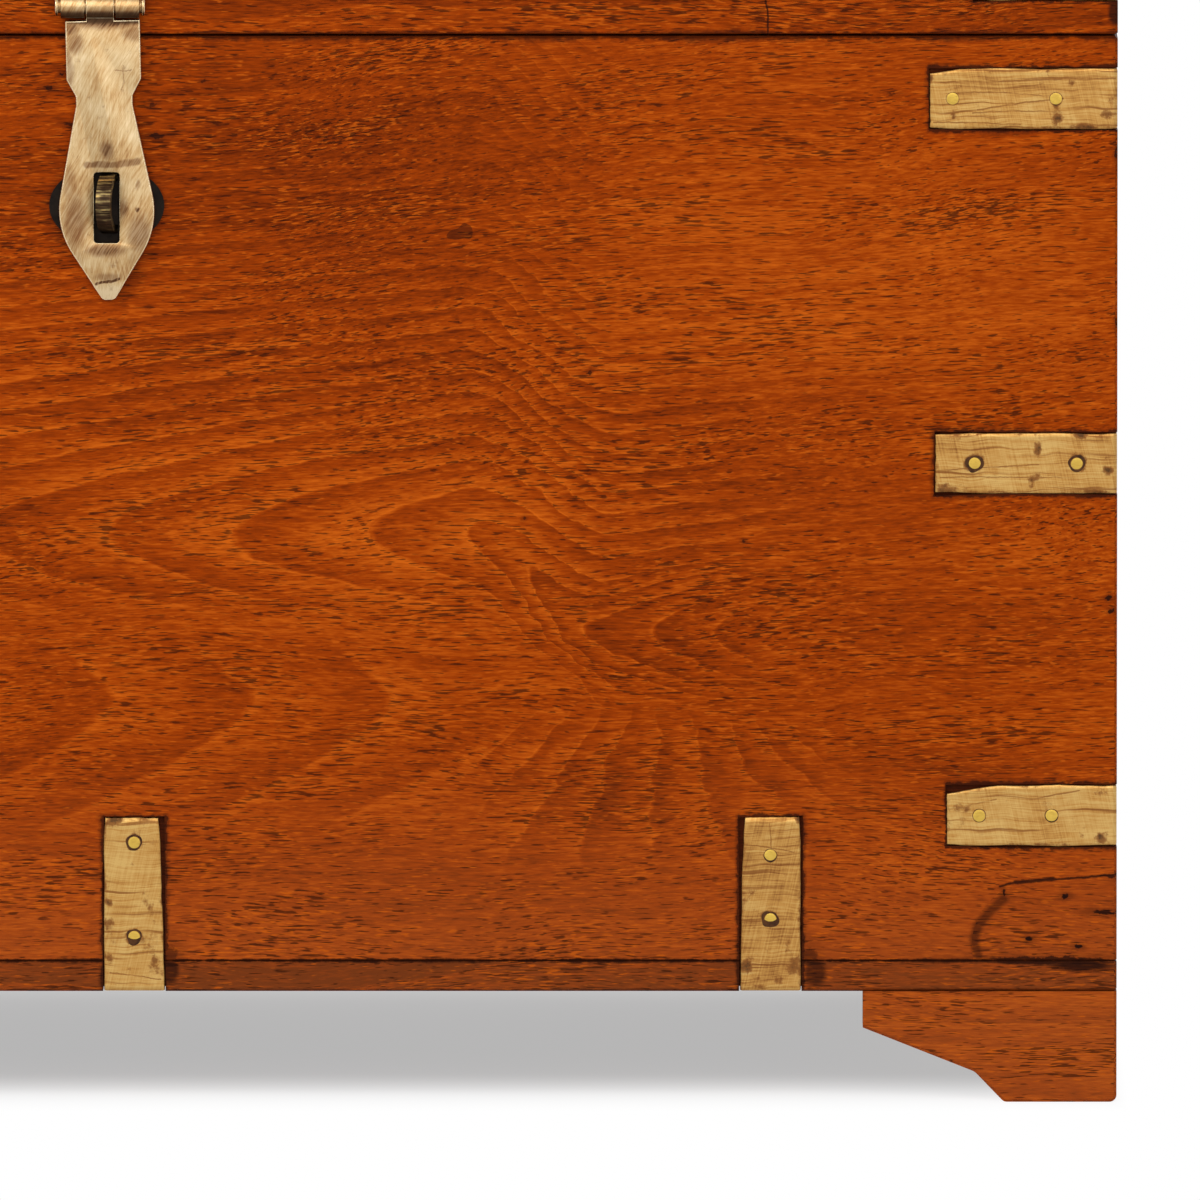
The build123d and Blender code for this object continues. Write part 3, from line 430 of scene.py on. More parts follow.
# Marks on the front in millimetres: ovals as (x, z, half width, half height, depth), lines as (x, z) points
WORN_TONES = (
    (70.0, 395.0, 190.0, 110.0, 0.22), (228.0, 196.0, 66.0, 32.0, 0.20), (208.0, 126.0, 44.0, 24.0, 0.18),
    (352.0, 138.0, 70.0, 34.0, 0.13), (20.0, 300.0, 70.0, 26.0, 0.10), (140.0, 92.0, 190.0, 36.0, 0.13),
)
RUBBED_TONES = (
    (300.0, 340.0, 170.0, 92.0, 0.08), (180.0, 262.0, 130.0, 40.0, 0.07), (390.0, 230.0, 60.0, 30.0, 0.07),
)
PEG_MARKS = (
    (-19.5, 434.8, 1.3, 1.1, 0.95), (-24.5, 429.0, 2.4, 1.1, 0.9), (-16.0, 413.5, 3.2, 1.0, 0.85),
    (20.3, 408.5, 4.6, 1.2, 0.9), (19.0, 422.0, 1.8, 1.3, 0.8), (40.4, 432.0, 1.3, 0.9, 0.7),
    (403.4, 87.6, 1.9, 1.5, 1.0), (388.0, 69.2, 2.2, 1.6, 1.0), (409.0, 66.2, 2.4, 1.5, 1.0),
    (203.0, 308.8, 0.9, 1.5, 0.8), (267.6, 237.5, 1.0, 1.0, 0.85), (175.6, 247.5, 0.9, 0.9, 0.75),
    (421.2, 213.5, 1.8, 1.0, 0.95), (422.4, 208.0, 1.6, 1.0, 0.95), (7.0, 346.0, 3.4, 0.8, 0.7),
    (422.5, 95.5, 2.4, 0.9, 0.9), (330.0, 427.0, 2.8, 0.7, 0.6), (96.0, 268.0, 2.0, 0.7, 0.6),
    (420.0, 80.6, 7.0, 1.3, 0.95), (377.2, 88.5, 1.1, 2.2, 0.95), (424.4, 402.0, 0.8, 4.0, 0.9),
    (424.6, 330.0, 0.7, 3.0, 0.8), (392.0, 60.6, 30.0, 1.5, 0.9), (412.0, 59.6, 15.0, 2.4, 0.9),
    (26.0, 62.0, 4.0, 6.0, 0.7), (296.0, 62.0, 4.0, 5.0, 0.7),
)
BOTTOM_CHIPS = (
    (392.0, 59.6, 30.0, 1.6, 0.9), (410.0, 58.0, 17.0, 3.4, 0.9), (26.0, 56.0, 5.0, 8.0, 0.8),
    (298.0, 55.0, 6.0, 8.0, 0.75),
)
# A chip at the lid's right end, and round the hasp's knuckles a darkening that is painted shade with grime.
LID_CHIPS_AND_SHADE = ((424.0, 461.0, 3.8, 8.0, 0.85), (-3.0, 468.0, 26.0, 12.0, 0.8))
LID_CRACK = ((277.4, 451.0), (278.0, 458.0), (277.0, 466.0))
PATCH_EDGES = (
    (((376.0, 91.6), (380.0, 92.6), (400.6, 94.6), (424.8, 96.4)), 0.85, 0.90),
    (((382.0, 93.2), (398.0, 94.6)), 1.30, 0.92),
    (((377.0, 86.0), (371.8, 81.0), (366.6, 75.0), (364.8, 69.0), (366.8, 61.5)), 3.40, 0.66),
)
# Darkening round the hasp, its plate and under its knuckles: painted shade with grime.
PLATE_SHADE = ((-2.2, 377.5, 29.0, 26.0, 0.72), (-3.0, 459.0, 27.0, 17.0, 0.5), (4.0, 352.0, 15.0, 14.0, 0.4))


def front_marks(recipe, place, ragged):
    """Dark marks of the front: pegs, nail holes, a repair's edges, and painted shade with grime round the hasp.
    """
    loose = recipe.swing(ragged, 4.4 * MM)
    shaken = recipe.nudged(place, loose)
    shade = recipe.spots(PLATE_SHADE, shaken, 0.45)
    shade = recipe.product(shade, recipe.between(ragged, 0.30, 0.62, 0.75, 1.0))
    halos = [(x, z, 2.6 * wide, 2.4 * high, 0.42 * depth) for x, z, wide, high, depth in PEG_MARKS]
    marks = recipe.spots(halos, shaken, 0.2, shade)
    marks = recipe.spots(PEG_MARKS, shaken, 0.55, marks)
    steady = recipe.vector("MULTIPLY", recipe.joined(loose, marks, loose), (0.4, 0.0, 0.4))
    steady = recipe.vector("ADD", place, steady)
    for points, width, depth in PATCH_EDGES:
        distance = recipe.near_lines(points, steady, recipe.total(marks, 1.0))
        marks = recipe.larger(marks, recipe.between(distance, 0.2 * width * MM, width * MM, depth, 0.0))
    return marks


def board_dirt_and_shade(recipe, crown, stains, seams, cracks, dark_spots):
    """How dark old wax, dirt and painted shade make a board, or None where it has none; the painted shade lies
    along the lid's gap and round the hasp.
    """
    ragged = recipe.noise(recipe.place, (260.0, 260.0, 260.0), detail=4.0, roughness=0.65)
    patchy = recipe.noise(recipe.place, (24.0, 24.0, 24.0), shift=(0.0, 7.0, 0.0), detail=3.0)
    layers = [front_marks(recipe, recipe.place, ragged)] if crown else []
    if stains:
        waver = recipe.maths("MULTIPLY_ADD", ragged, -4.0 * MM, 1.5 * MM)
        distance = recipe.near_boxes(stains, recipe.place, waver)
        reach = recipe.maths("MULTIPLY_ADD", patchy, 7.0 * MM, -1.6 * MM)
        stain = recipe.between(distance, 0.0, reach, 0.55, 0.0)
        thin = recipe.between(patchy, 0.32, 0.64, 0.45 * MM, 1.5 * MM)
        layers.append(recipe.larger(stain, recipe.between(distance, 0.0, thin, 0.85, 0.0)))
    dirt_and_shade = reduce(recipe.larger, layers) if layers else None
    for axis, level, width, depth in seams:
        offset = recipe.maths("ABSOLUTE", recipe.difference(recipe.parts(recipe.place)[axis], level))
        offset = recipe.maths("MULTIPLY_ADD", ragged, -2.6 * width, recipe.total(offset, 1.1 * width))
        reach = recipe.between(patchy, 0.35, 0.65, 0.8 * width, 2.2 * width)
        seam = recipe.between(offset, 0.0, reach, depth, 0.0)
        dirt_and_shade = seam if dirt_and_shade is None else recipe.larger(dirt_and_shade, seam)
    shaken = recipe.nudged(recipe.place, recipe.swing(ragged, 1.6 * MM))
    for points in cracks:
        crack = recipe.between(recipe.near_lines(points, shaken), 0.15 * MM, 0.6 * MM, 0.85, 0.0)
        dirt_and_shade = recipe.larger(dirt_and_shade, crack)
    if dark_spots:
        dirt_and_shade = recipe.larger(dirt_and_shade, recipe.spots(dark_spots, shaken, 0.5))
    return dirt_and_shade


def make_teak(
    name, turned=False, seed=0.0, crown=False, stains=(), seams=(), darker=0.0, cracks=(), dark_spots=()
):
    """Waxed old teak.

    Turned boards run along Y; stains are boxes with grime round them; seams are dirty joints, along the lid's
    gap also painted shade.
    """
    wood = bpy.context.scene.chest_wood
    recipe = Recipe(name)
    quarter = (0.0, 0.0, pi / 2) if turned else (0.0, 0.0, 0.0)
    grain = recipe.mapped(recipe.place, turn=quarter, shift=(seed, 0.0, 0.0))
    lift = recipe.swing(recipe.noise(grain, (5.0, 11.0, 11.0)), 0.022)
    if crown:
        sides = recipe.parts(recipe.place)
        slope = recipe.between(sides["Z"], 0.16, 0.30, 0.0, -0.062)
        lift = recipe.maths("MULTIPLY_ADD", sides["X"], slope, lift)
    grain = recipe.vector("ADD", grain, recipe.joined(0.0, lift, lift))
    wander = recipe.noise(grain, (18.0, 34.0, 34.0), detail=3.5, roughness=0.6)
    wander = recipe.difference(wander, 0.5)
    wander = recipe.swing(recipe.noise(grain, (150.0, 260.0, 260.0)), 0.14, wander)
    ring = crown_rings(recipe, wander) if crown else straight_rings(recipe, grain, seed)

    cloud = recipe.noise(grain, (3.4, 9.0, 9.0), detail=3.0)
    band = recipe.noise(grain, (2.4, 70.0, 70.0), detail=4.0, roughness=0.6)
    streak = recipe.noise(grain, (19.0, 520.0, 520.0), detail=4.0, roughness=0.62)
    fibre = recipe.noise(grain, (150.0, 1500.0, 1500.0))
    mottle = recipe.noise(grain, (90.0, 420.0, 420.0), detail=3.0, roughness=0.6)
    tone = recipe.swing(cloud, 0.50, 0.50 - darker)
    for value, share in ((band, 0.40), (streak, 0.78), (fibre, 0.95), (mottle, 0.25)):
        tone = recipe.swing(value, share, tone)
    tone = recipe.maths("MULTIPLY_ADD", ring, 0.19, tone)
    if crown:
        tone = recipe.difference(tone, recipe.spots(WORN_TONES, recipe.place, 0.0))
        tone = recipe.total(tone, recipe.spots(RUBBED_TONES, recipe.place, 0.0))
    colour = recipe.ramp(tone, ((0.0, wood.deep), (0.50, wood.warm), (1.0, wood.pale)))
    dust = recipe.between(recipe.parts(recipe.place)["Z"], 0.020, 0.170, 0.27, 0.0)
    colour = recipe.mixed(dust, colour, wood.dust)

    crowd = recipe.noise(grain, (13.0, 55.0, 55.0), shift=(3.0, 0.0, 0.0), detail=3.0)
    crowd = recipe.maths("MULTIPLY_ADD", recipe.larger(ring, -0.5), 0.15, crowd)
    threshold = recipe.maths("MULTIPLY_ADD", crowd, -0.40, 0.790)
    dash = recipe.noise(grain, (115.0, 1450.0, 1450.0), detail=1.0, roughness=0.6)
    pore = recipe.between(dash, threshold, recipe.total(threshold, 0.07))
    filled = recipe.noise(grain, (160.0, 1400.0, 1400.0), shift=(1.0, 5.0, 2.0), detail=1.0)
    filled = recipe.between(filled, threshold, recipe.total(threshold, 0.12))
    colour = recipe.mixed(recipe.product(filled, 0.6), colour, wood.pale)
    colour = recipe.mixed(recipe.product(pore, wood.pores), colour, wood.grime_and_shade)

    dirt_and_shade = board_dirt_and_shade(recipe, crown, stains, seams, cracks, dark_spots)
    # Old wax and dirt, and painted shade along the lid's gap and round the hasp.
    if dirt_and_shade is not None:
        colour = recipe.mixed(dirt_and_shade, colour, wood.grime_and_shade)

    open_pore = recipe.between(dash, 0.58, 0.68)
    height = recipe.maths("MULTIPLY_ADD", open_pore, -1.0, recipe.product(fibre, 0.35))
    normal = recipe.bump(height, 0.10 * MM)
    worn = recipe.noise(recipe.place, (9.0, 9.0, 9.0), detail=3.0)
    roughness = recipe.swing(worn, 0.22, wood.roughness)
    roughness = recipe.maths("MULTIPLY_ADD", pore, 0.3, roughness, clamp=True)
    return recipe.finish(Base_Color=colour, Roughness=roughness, Normal=normal, Specular_IOR_Level=0.03)


# Scratches on the straps, each a line of points and how wide it is, in millimetres
STRAP_SCRATCHES = (
    (((366.0, 419.9), (386.0, 423.0), (402.0, 424.6)), 0.34),
    (((350.5, 431.4), (376.0, 431.8), (392.0, 432.6), (424.0, 433.2)), 0.40),
    (((364.0, 418.6), (380.0, 419.5), (399.0, 419.0)), 0.28),
    (((356.0, 427.4), (378.0, 427.0), (396.0, 425.6)), 0.26),
    (((347.6, 414.6), (370.0, 414.2), (384.0, 413.6)), 0.30),
    (((350.0, 267.6), (372.0, 268.9), (392.0, 270.0)), 0.26),
    (((350.5, 264.6), (376.0, 264.8), (406.0, 264.4)), 0.24), (((363.0, 126.0), (374.0, 128.2)), 0.26),
    (((388.0, 128.2), (399.0, 130.2), (409.0, 131.9)), 0.30),
    (((0.6, 54.8), (10.0, 53.8), (22.0, 52.0)), 0.26),
    (((268.0, 109.2), (278.0, 108.0), (289.0, 106.0)), 0.24),
    (((278.6, 118.0), (279.4, 108.0), (278.8, 98.0)), 0.22),
)


def make_strap_brass(name):
    """Strap brass: fine filing with long scores, soft brown smudges at its edges and round its pins."""
    brass = bpy.context.scene.chest_brass
    recipe = Recipe(name)
    place = recipe.node("ShaderNodeUVMap", uv_map="UVMap").outputs[0]
    rim, pins, smudge, shade = (recipe.attribute(word) for word in ("rim", "pins", "smudge", "shade"))
    sway = recipe.swing(recipe.noise(place, scale=45.0), 5.0 * MM)
    swayed = recipe.vector("ADD", place, recipe.joined(0.0, sway, 0.0))
    scores = recipe.noise(swayed, (17.0, 620.0, 1.0), detail=3.0, roughness=0.5)
    filing = recipe.noise(swayed, (60.0, 1700.0, 1.0), detail=3.0, roughness=0.6)
    crossed = recipe.noise(recipe.mapped(place, turn=(0.0, 0.0, 1.35)), (40.0, 1500.0, 1.0))
    cloud = recipe.noise(place, scale=75.0, detail=5.0, roughness=0.65)
    blot = recipe.noise(place, shift=(5.0, 2.0, 0.0), scale=130.0, detail=5.0, roughness=0.68)
    tone = recipe.swing(cloud, 1.3, recipe.total(shade, 0.55))
    for value, part in ((filing, 1.25), (crossed, 0.70), (scores, 0.70)):
        tone = recipe.swing(value, -part, tone)
    colour = recipe.ramp(tone, ((0.0, brass.tarnish), (0.46, brass.plain), (0.92, brass.bright)))

    shaken = recipe.nudged(recipe.place, recipe.swing(blot, 1.8 * MM))
    scratched = 0.0
    for points, width in STRAP_SCRATCHES:
        distance = recipe.near_lines(points, shaken, recipe.total(scratched, 1.0))
        scratch = recipe.between(distance, 0.4 * width * MM, 1.5 * width * MM, 0.75, 0.0)
        scratched = recipe.larger(scratched, scratch)
    scratched = recipe.product(scratched, recipe.between(cloud, 0.36, 0.52, 0.25, 1.0))

    reach = recipe.total(blot, recipe.between(rim, 0.0, 2.6 * MM, 0.12, 0.0))
    reach = recipe.total(reach, recipe.between(pins, 2.7 * MM, 5.6 * MM, 0.26, 0.0))
    reach = recipe.maths("MULTIPLY_ADD", smudge, 0.34, reach)
    darkened = recipe.between(reach, 0.60, 0.76, 0.0, 0.85)
    darkened = recipe.larger(darkened, recipe.between(scores, 0.575, 0.68, 0.0, 0.75))
    darkened = recipe.larger(darkened, recipe.between(rim, 0.0, 0.45 * MM, 0.6, 0.0))
    darkened = recipe.larger(darkened, scratched)
    colour = recipe.mixed(darkened, colour, brass.tarnish)
    dark = recipe.product(recipe.between(reach, 0.74, 0.90), recipe.between(filing, 0.32, 0.62, 0.9, 0.65))
    colour = recipe.mixed(dark, colour, brass.aged)
    roughness = recipe.maths("MULTIPLY_ADD", filing, 0.22, 0.30)
    roughness = recipe.maths("MULTIPLY_ADD", darkened, 0.20, roughness, clamp=True)
    height = recipe.maths("MULTIPLY_ADD", scores, -0.8, recipe.product(filing, -0.4))
    normal = recipe.bump(height, 0.05 * MM)
    return recipe.finish(Base_Color=colour, Roughness=roughness, Normal=normal, Metallic=1.0)


# Brown ovals and scored lines on the hasp, in millimetres: a line has its points, its width and its depth. The
# ovals just under the knuckles, from Z 452 to 458 mm, are painted shade.
HASP_SMUDGES_AND_SHADE = (
    (-13.6, 373.0, 7.0, 18.0, 0.78), (-15.0, 358.0, 7.0, 8.0, 0.32), (13.6, 368.0, 7.5, 12.0, 0.75),
    (6.3, 378.5, 3.6, 5.4, 0.85), (12.6, 378.0, 1.5, 1.7, 0.95), (-0.4, 403.0, 4.4, 6.0, 0.90),
    (-1.0, 361.0, 12.0, 4.2, 0.90), (-13.5, 448.5, 5.0, 7.0, 0.75), (13.0, 389.0, 1.4, 2.6, 0.55),
    (0.0, 457.6, 26.0, 4.8, 1.00), (-15.5, 454.5, 6.0, 5.0, 0.85), (-17.0, 436.0, 4.0, 18.0, 0.65),
    (11.5, 452.5, 7.5, 5.0, 0.70), (0.0, 349.4, 8.0, 2.6, 0.60), (-16.0, 388.0, 4.0, 12.0, 0.50),
    (12.0, 357.0, 5.0, 6.0, 0.30),
)
HASP_LINES = (
    (((-8.6, 397.0), (4.0, 397.2), (13.0, 398.4)), 1.9, 0.80),
    (((-4.8, 346.7), (0.0, 347.6), (4.6, 348.6)), 0.8, 1.0), (((3.0, 436.6), (10.0, 437.0)), 0.4, 0.6),
    (((6.6, 430.0), (7.0, 439.0)), 0.4, 0.55),
)
# Brass of the hasp from the brownest to the brightest stroke; the brownest also paints shade on and under the
# knuckles
HASP_TONES = ((0.150, 0.056, 0.022), (0.330, 0.165, 0.063), (0.480, 0.298, 0.130), (0.680, 0.520, 0.310))


def make_hasp_brass(name, marked=True):
    """Brushed hasp brass: leaning strokes, brown smudges where hands and the lock rub, silky at the top,
    painted shade on and under the knuckles, and a painted highlight at the tip.
    """
    brass = bpy.context.scene.chest_brass
    recipe = Recipe(name)
    place = recipe.place
    bow = recipe.swing(recipe.noise(place, scale=30.0, detail=1.0), 12.0 * MM)
    bent = recipe.vector("ADD", place, recipe.joined(bow, 0.0, 0.0))
    leaning, upright = (recipe.mapped(bent, turn=(0.0, lean, 0.0)) for lean in (-0.50, -0.14))
    strokes = recipe.noise(leaning, (1500.0, 200.0, 70.0), detail=3.0, roughness=0.6)
    brushing = recipe.noise(upright, (2000.0, 200.0, 95.0), detail=3.0, roughness=0.6)
    up = recipe.parts(place)["Z"]
    tone = recipe.between(up, 0.372, 0.425, 0.56, 0.68)
    # Painted shade: darker just under the knuckles.
    tone = recipe.total(tone, recipe.between(up, 0.440, 0.458, 0.0, -0.15))
    # Painted highlight: lighter on the bent lip at the tip.
    tone = recipe.total(tone, recipe.between(up, 0.343, 0.349, 0.34, 0.0))
    cloud = recipe.noise(place, scale=80.0, detail=4.0, roughness=0.62)
    blot = recipe.noise(place, shift=(4.0, 0.0, 1.0), scale=190.0, detail=5.0, roughness=0.66)
    for value, share in ((cloud, 0.95), (strokes, 0.85), (brushing, 0.65)):
        tone = recipe.swing(value, share, tone)
    tones = (*HASP_TONES[:3], brass.silky, HASP_TONES[3])
    colour = recipe.ramp(tone, tuple(zip((0.0, 0.28, 0.48, 0.68, 0.92), tones)))
    darkened = recipe.between(blot, 0.58, 0.74, 0.0, 0.6)
    if marked:
        shaken = recipe.nudged(place, recipe.swing(blot, 3.2 * MM))
        darkened = recipe.larger(darkened, recipe.spots(HASP_SMUDGES_AND_SHADE, shaken, 0.30))
        for points, width, depth in HASP_LINES:
            distance = recipe.near_lines(points, shaken, recipe.total(darkened, 1.0))
            line = recipe.between(distance, 0.4 * width * MM, width * MM, depth, 0.0)
            darkened = recipe.larger(darkened, line)
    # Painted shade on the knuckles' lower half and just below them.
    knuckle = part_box("hasp_pin")[0].z
    above = recipe.between(up, knuckle + 0.6 * MM, knuckle + 4.4 * MM, 1.0, 0.0)
    painted_knuckle_shade = recipe.product(above, recipe.between(up, knuckle - 5.5 * MM, knuckle - 2.2 * MM))
    darkened = recipe.larger(darkened, painted_knuckle_shade)
    darkened = recipe.product(darkened, recipe.between(strokes, 0.36, 0.62, 1.0, 0.72))
    colour = recipe.mixed(darkened, colour, HASP_TONES[0])
    colour = recipe.mixed(recipe.between(darkened, 0.70, 1.0, 0.0, 0.7), colour, brass.aged)
    # The deepest painted shade of the knuckles, in the aged colour.
    colour = recipe.mixed(recipe.between(painted_knuckle_shade, 0.35, 1.0, 0.0, 0.85), colour, brass.aged)
    roughness = recipe.maths("MULTIPLY_ADD", strokes, 0.20, 0.28)
    roughness = recipe.maths("MULTIPLY_ADD", darkened, 0.15, roughness, clamp=True)
    height = recipe.maths("MULTIPLY_ADD", strokes, 1.0, recipe.product(brushing, 0.6))
    normal = recipe.bump(height, 0.05 * MM)
    return recipe.finish(Base_Color=colour, Roughness=roughness, Normal=normal, Metallic=1.0)


def make_plain_brass(name, colour_low, colour_high, roughness_low=0.3, tarnish=0.4):
    """Small brass pieces: fine scratches and a little tarnish."""
    brass = bpy.context.scene.chest_brass
    recipe = Recipe(name)
    scratch = recipe.noise(recipe.place, (420.0, 420.0, 2300.0), detail=3.0, roughness=0.6)
    cloud = recipe.noise(recipe.place, scale=260.0, detail=4.0, roughness=0.62)
    tone = recipe.swing(scratch, 0.8, cloud)
    colour = recipe.ramp(tone, ((0.25, colour_low), (0.75, colour_high)))
    spot = recipe.noise(recipe.place, shift=(5.0, 2.0, 0.0), scale=320.0, detail=4.0, roughness=0.7)
    darkened = recipe.product(recipe.between(spot, 0.57, 0.70), tarnish)
    colour = recipe.mixed(darkened, colour, brass.tarnish)
    roughness = recipe.maths("MULTIPLY_ADD", scratch, 0.22, roughness_low, clamp=True)
    normal = recipe.bump(scratch, 0.04 * MM)
    return recipe.finish(Base_Color=colour, Roughness=roughness, Normal=normal, Metallic=1.0)


def make_aged_brass(name):
    """Staple brass gone dark, with file hatching, lighter on its upper half."""
    brass = bpy.context.scene.chest_brass
    recipe = Recipe(name)
    hatch = recipe.noise(recipe.place, (110.0, 110.0, 1500.0), roughness=0.6)
    cloud = recipe.noise(recipe.place, scale=210.0, detail=4.0, roughness=0.6)
    upper = recipe.between(recipe.parts(recipe.place)["Z"], 0.378, 0.388)
    lowest = recipe.maths("MULTIPLY_ADD", upper, 0.20, 0.28)
    tone = recipe.swing(cloud, 0.6, recipe.swing(hatch, 1.9, lowest))
    tones = ((0.022, 0.014, 0.008), brass.aged, (0.230, 0.170, 0.070), brass.bright)
    colour = recipe.ramp(tone, tuple(zip((0.10, 0.42, 0.70, 0.95), tones)))
    roughness = recipe.maths("MULTIPLY_ADD", hatch, 0.25, 0.34, clamp=True)
    normal = recipe.bump(hatch, 0.10 * MM, 0.7)
    return recipe.finish(Base_Color=colour, Roughness=roughness, Normal=normal, Metallic=1.0)


def make_iron(name, rust=(0.075, 0.030, 0.014), metal=0.6, shine=0.3):
    """Blackened wrought iron with a little rust."""
    recipe = Recipe(name)
    cloud = recipe.noise(recipe.place, scale=140.0, detail=4.0, roughness=0.65)
    colour = recipe.ramp(cloud, ((0.30, (0.008, 0.006, 0.005)), (0.60, (0.018, 0.013, 0.010)), (0.80, rust)))
    roughness = recipe.between(cloud, 0.3, 0.8, 0.45, 0.8)
    normal = recipe.bump(cloud, 0.4 * MM)
    return recipe.finish(
        Base_Color=colour, Roughness=roughness, Normal=normal, Metallic=metal, Specular_IOR_Level=shine
    )


def make_pin_grime_and_shade(name):
    """Old wax and dirt packed into the gap round a pin, also drawn over the lower side of some heads as painted
    shade.
    """
    recipe = Recipe(name)
    cloud = recipe.noise(recipe.place, scale=500.0, detail=3.0)
    colour = recipe.ramp(cloud, ((0.3, (0.035, 0.014, 0.007)), (0.75, (0.110, 0.045, 0.017))))
    roughness = recipe.between(cloud, 0.2, 0.8, 0.6, 0.85)
    normal = recipe.bump(cloud, 0.10 * MM)
    return recipe.finish(Base_Color=colour, Roughness=roughness, Normal=normal, Specular_IOR_Level=0.1)


def wear(names, material):
    """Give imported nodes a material."""
    for name in names:
        mesh = NODES[name].data
        mesh.materials.clear()
        mesh.materials.append(material)


def let_in(names, axis):
    """The boxes of some straps, each only as deep as it is let into the face across an axis."""
    boxes = []
    for name in names:
        low, high = (corner.copy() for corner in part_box(name))
        if low[axis] + high[axis] < 0.0:
            high[axis] = low[axis] + STRAP_DEPTH
        else:
            low[axis] = high[axis] - STRAP_DEPTH
        boxes.append((low, high))
    return boxes


# Pieces

def new_piece(name, shape, body, materials, stands_for):
    """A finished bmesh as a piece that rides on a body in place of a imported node."""
    bmesh.ops.recalc_face_normals(shape, faces=shape.faces)
    for face in shape.faces:
        face.smooth = True
    mesh = bpy.data.meshes.new(name)
    shape.to_mesh(mesh)
    shape.free()
    mesh.set_sharp_from_angle(angle=radians(42))
    piece = bpy.data.objects.new(name, mesh)
    bpy.context.scene.collection.objects.link(piece)
    for material in materials:
        mesh.materials.append(material)
    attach(piece, body)
    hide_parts(stands_for)


def rounded_copy(node, width):
    """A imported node's shape with its doubles merged and its sharp edges rounded, in the second material."""
    shape = bmesh.new()
    shape.from_mesh(NODES[node].data)
    bmesh.ops.remove_doubles(shape, verts=shape.verts, dist=0.01 * MM)
    bmesh.ops.dissolve_limit(shape, angle_limit=radians(1.0), verts=shape.verts, edges=shape.edges)
    sharp = [edge for edge in shape.edges if edge.calc_face_angle(0.0) > radians(30.0)]
    bmesh.ops.bevel(
        shape, geom=sharp, offset=width, segments=2, profile=0.5, affect="EDGES", material=1, clamp_overlap=True
    )
    return shape


# How far from the hasp's pin the outside of its knuckle lies
KNUCKLE_SKIN = (4.90 * MM, 5.02 * MM)


def free_knuckle(shape):
    """Draw the hasp's knuckle in by a hair all round, so that it turns clear of the lid's rail."""
    low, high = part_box("hasp_pin")
    for vertex in shape.verts:
        arm = vertex.co - (low + high) / 2
        arm.x = 0.0
        if KNUCKLE_SKIN[0] < arm.length < KNUCKLE_SKIN[1]:
            vertex.co -= arm.normalized() * 0.03 * MM


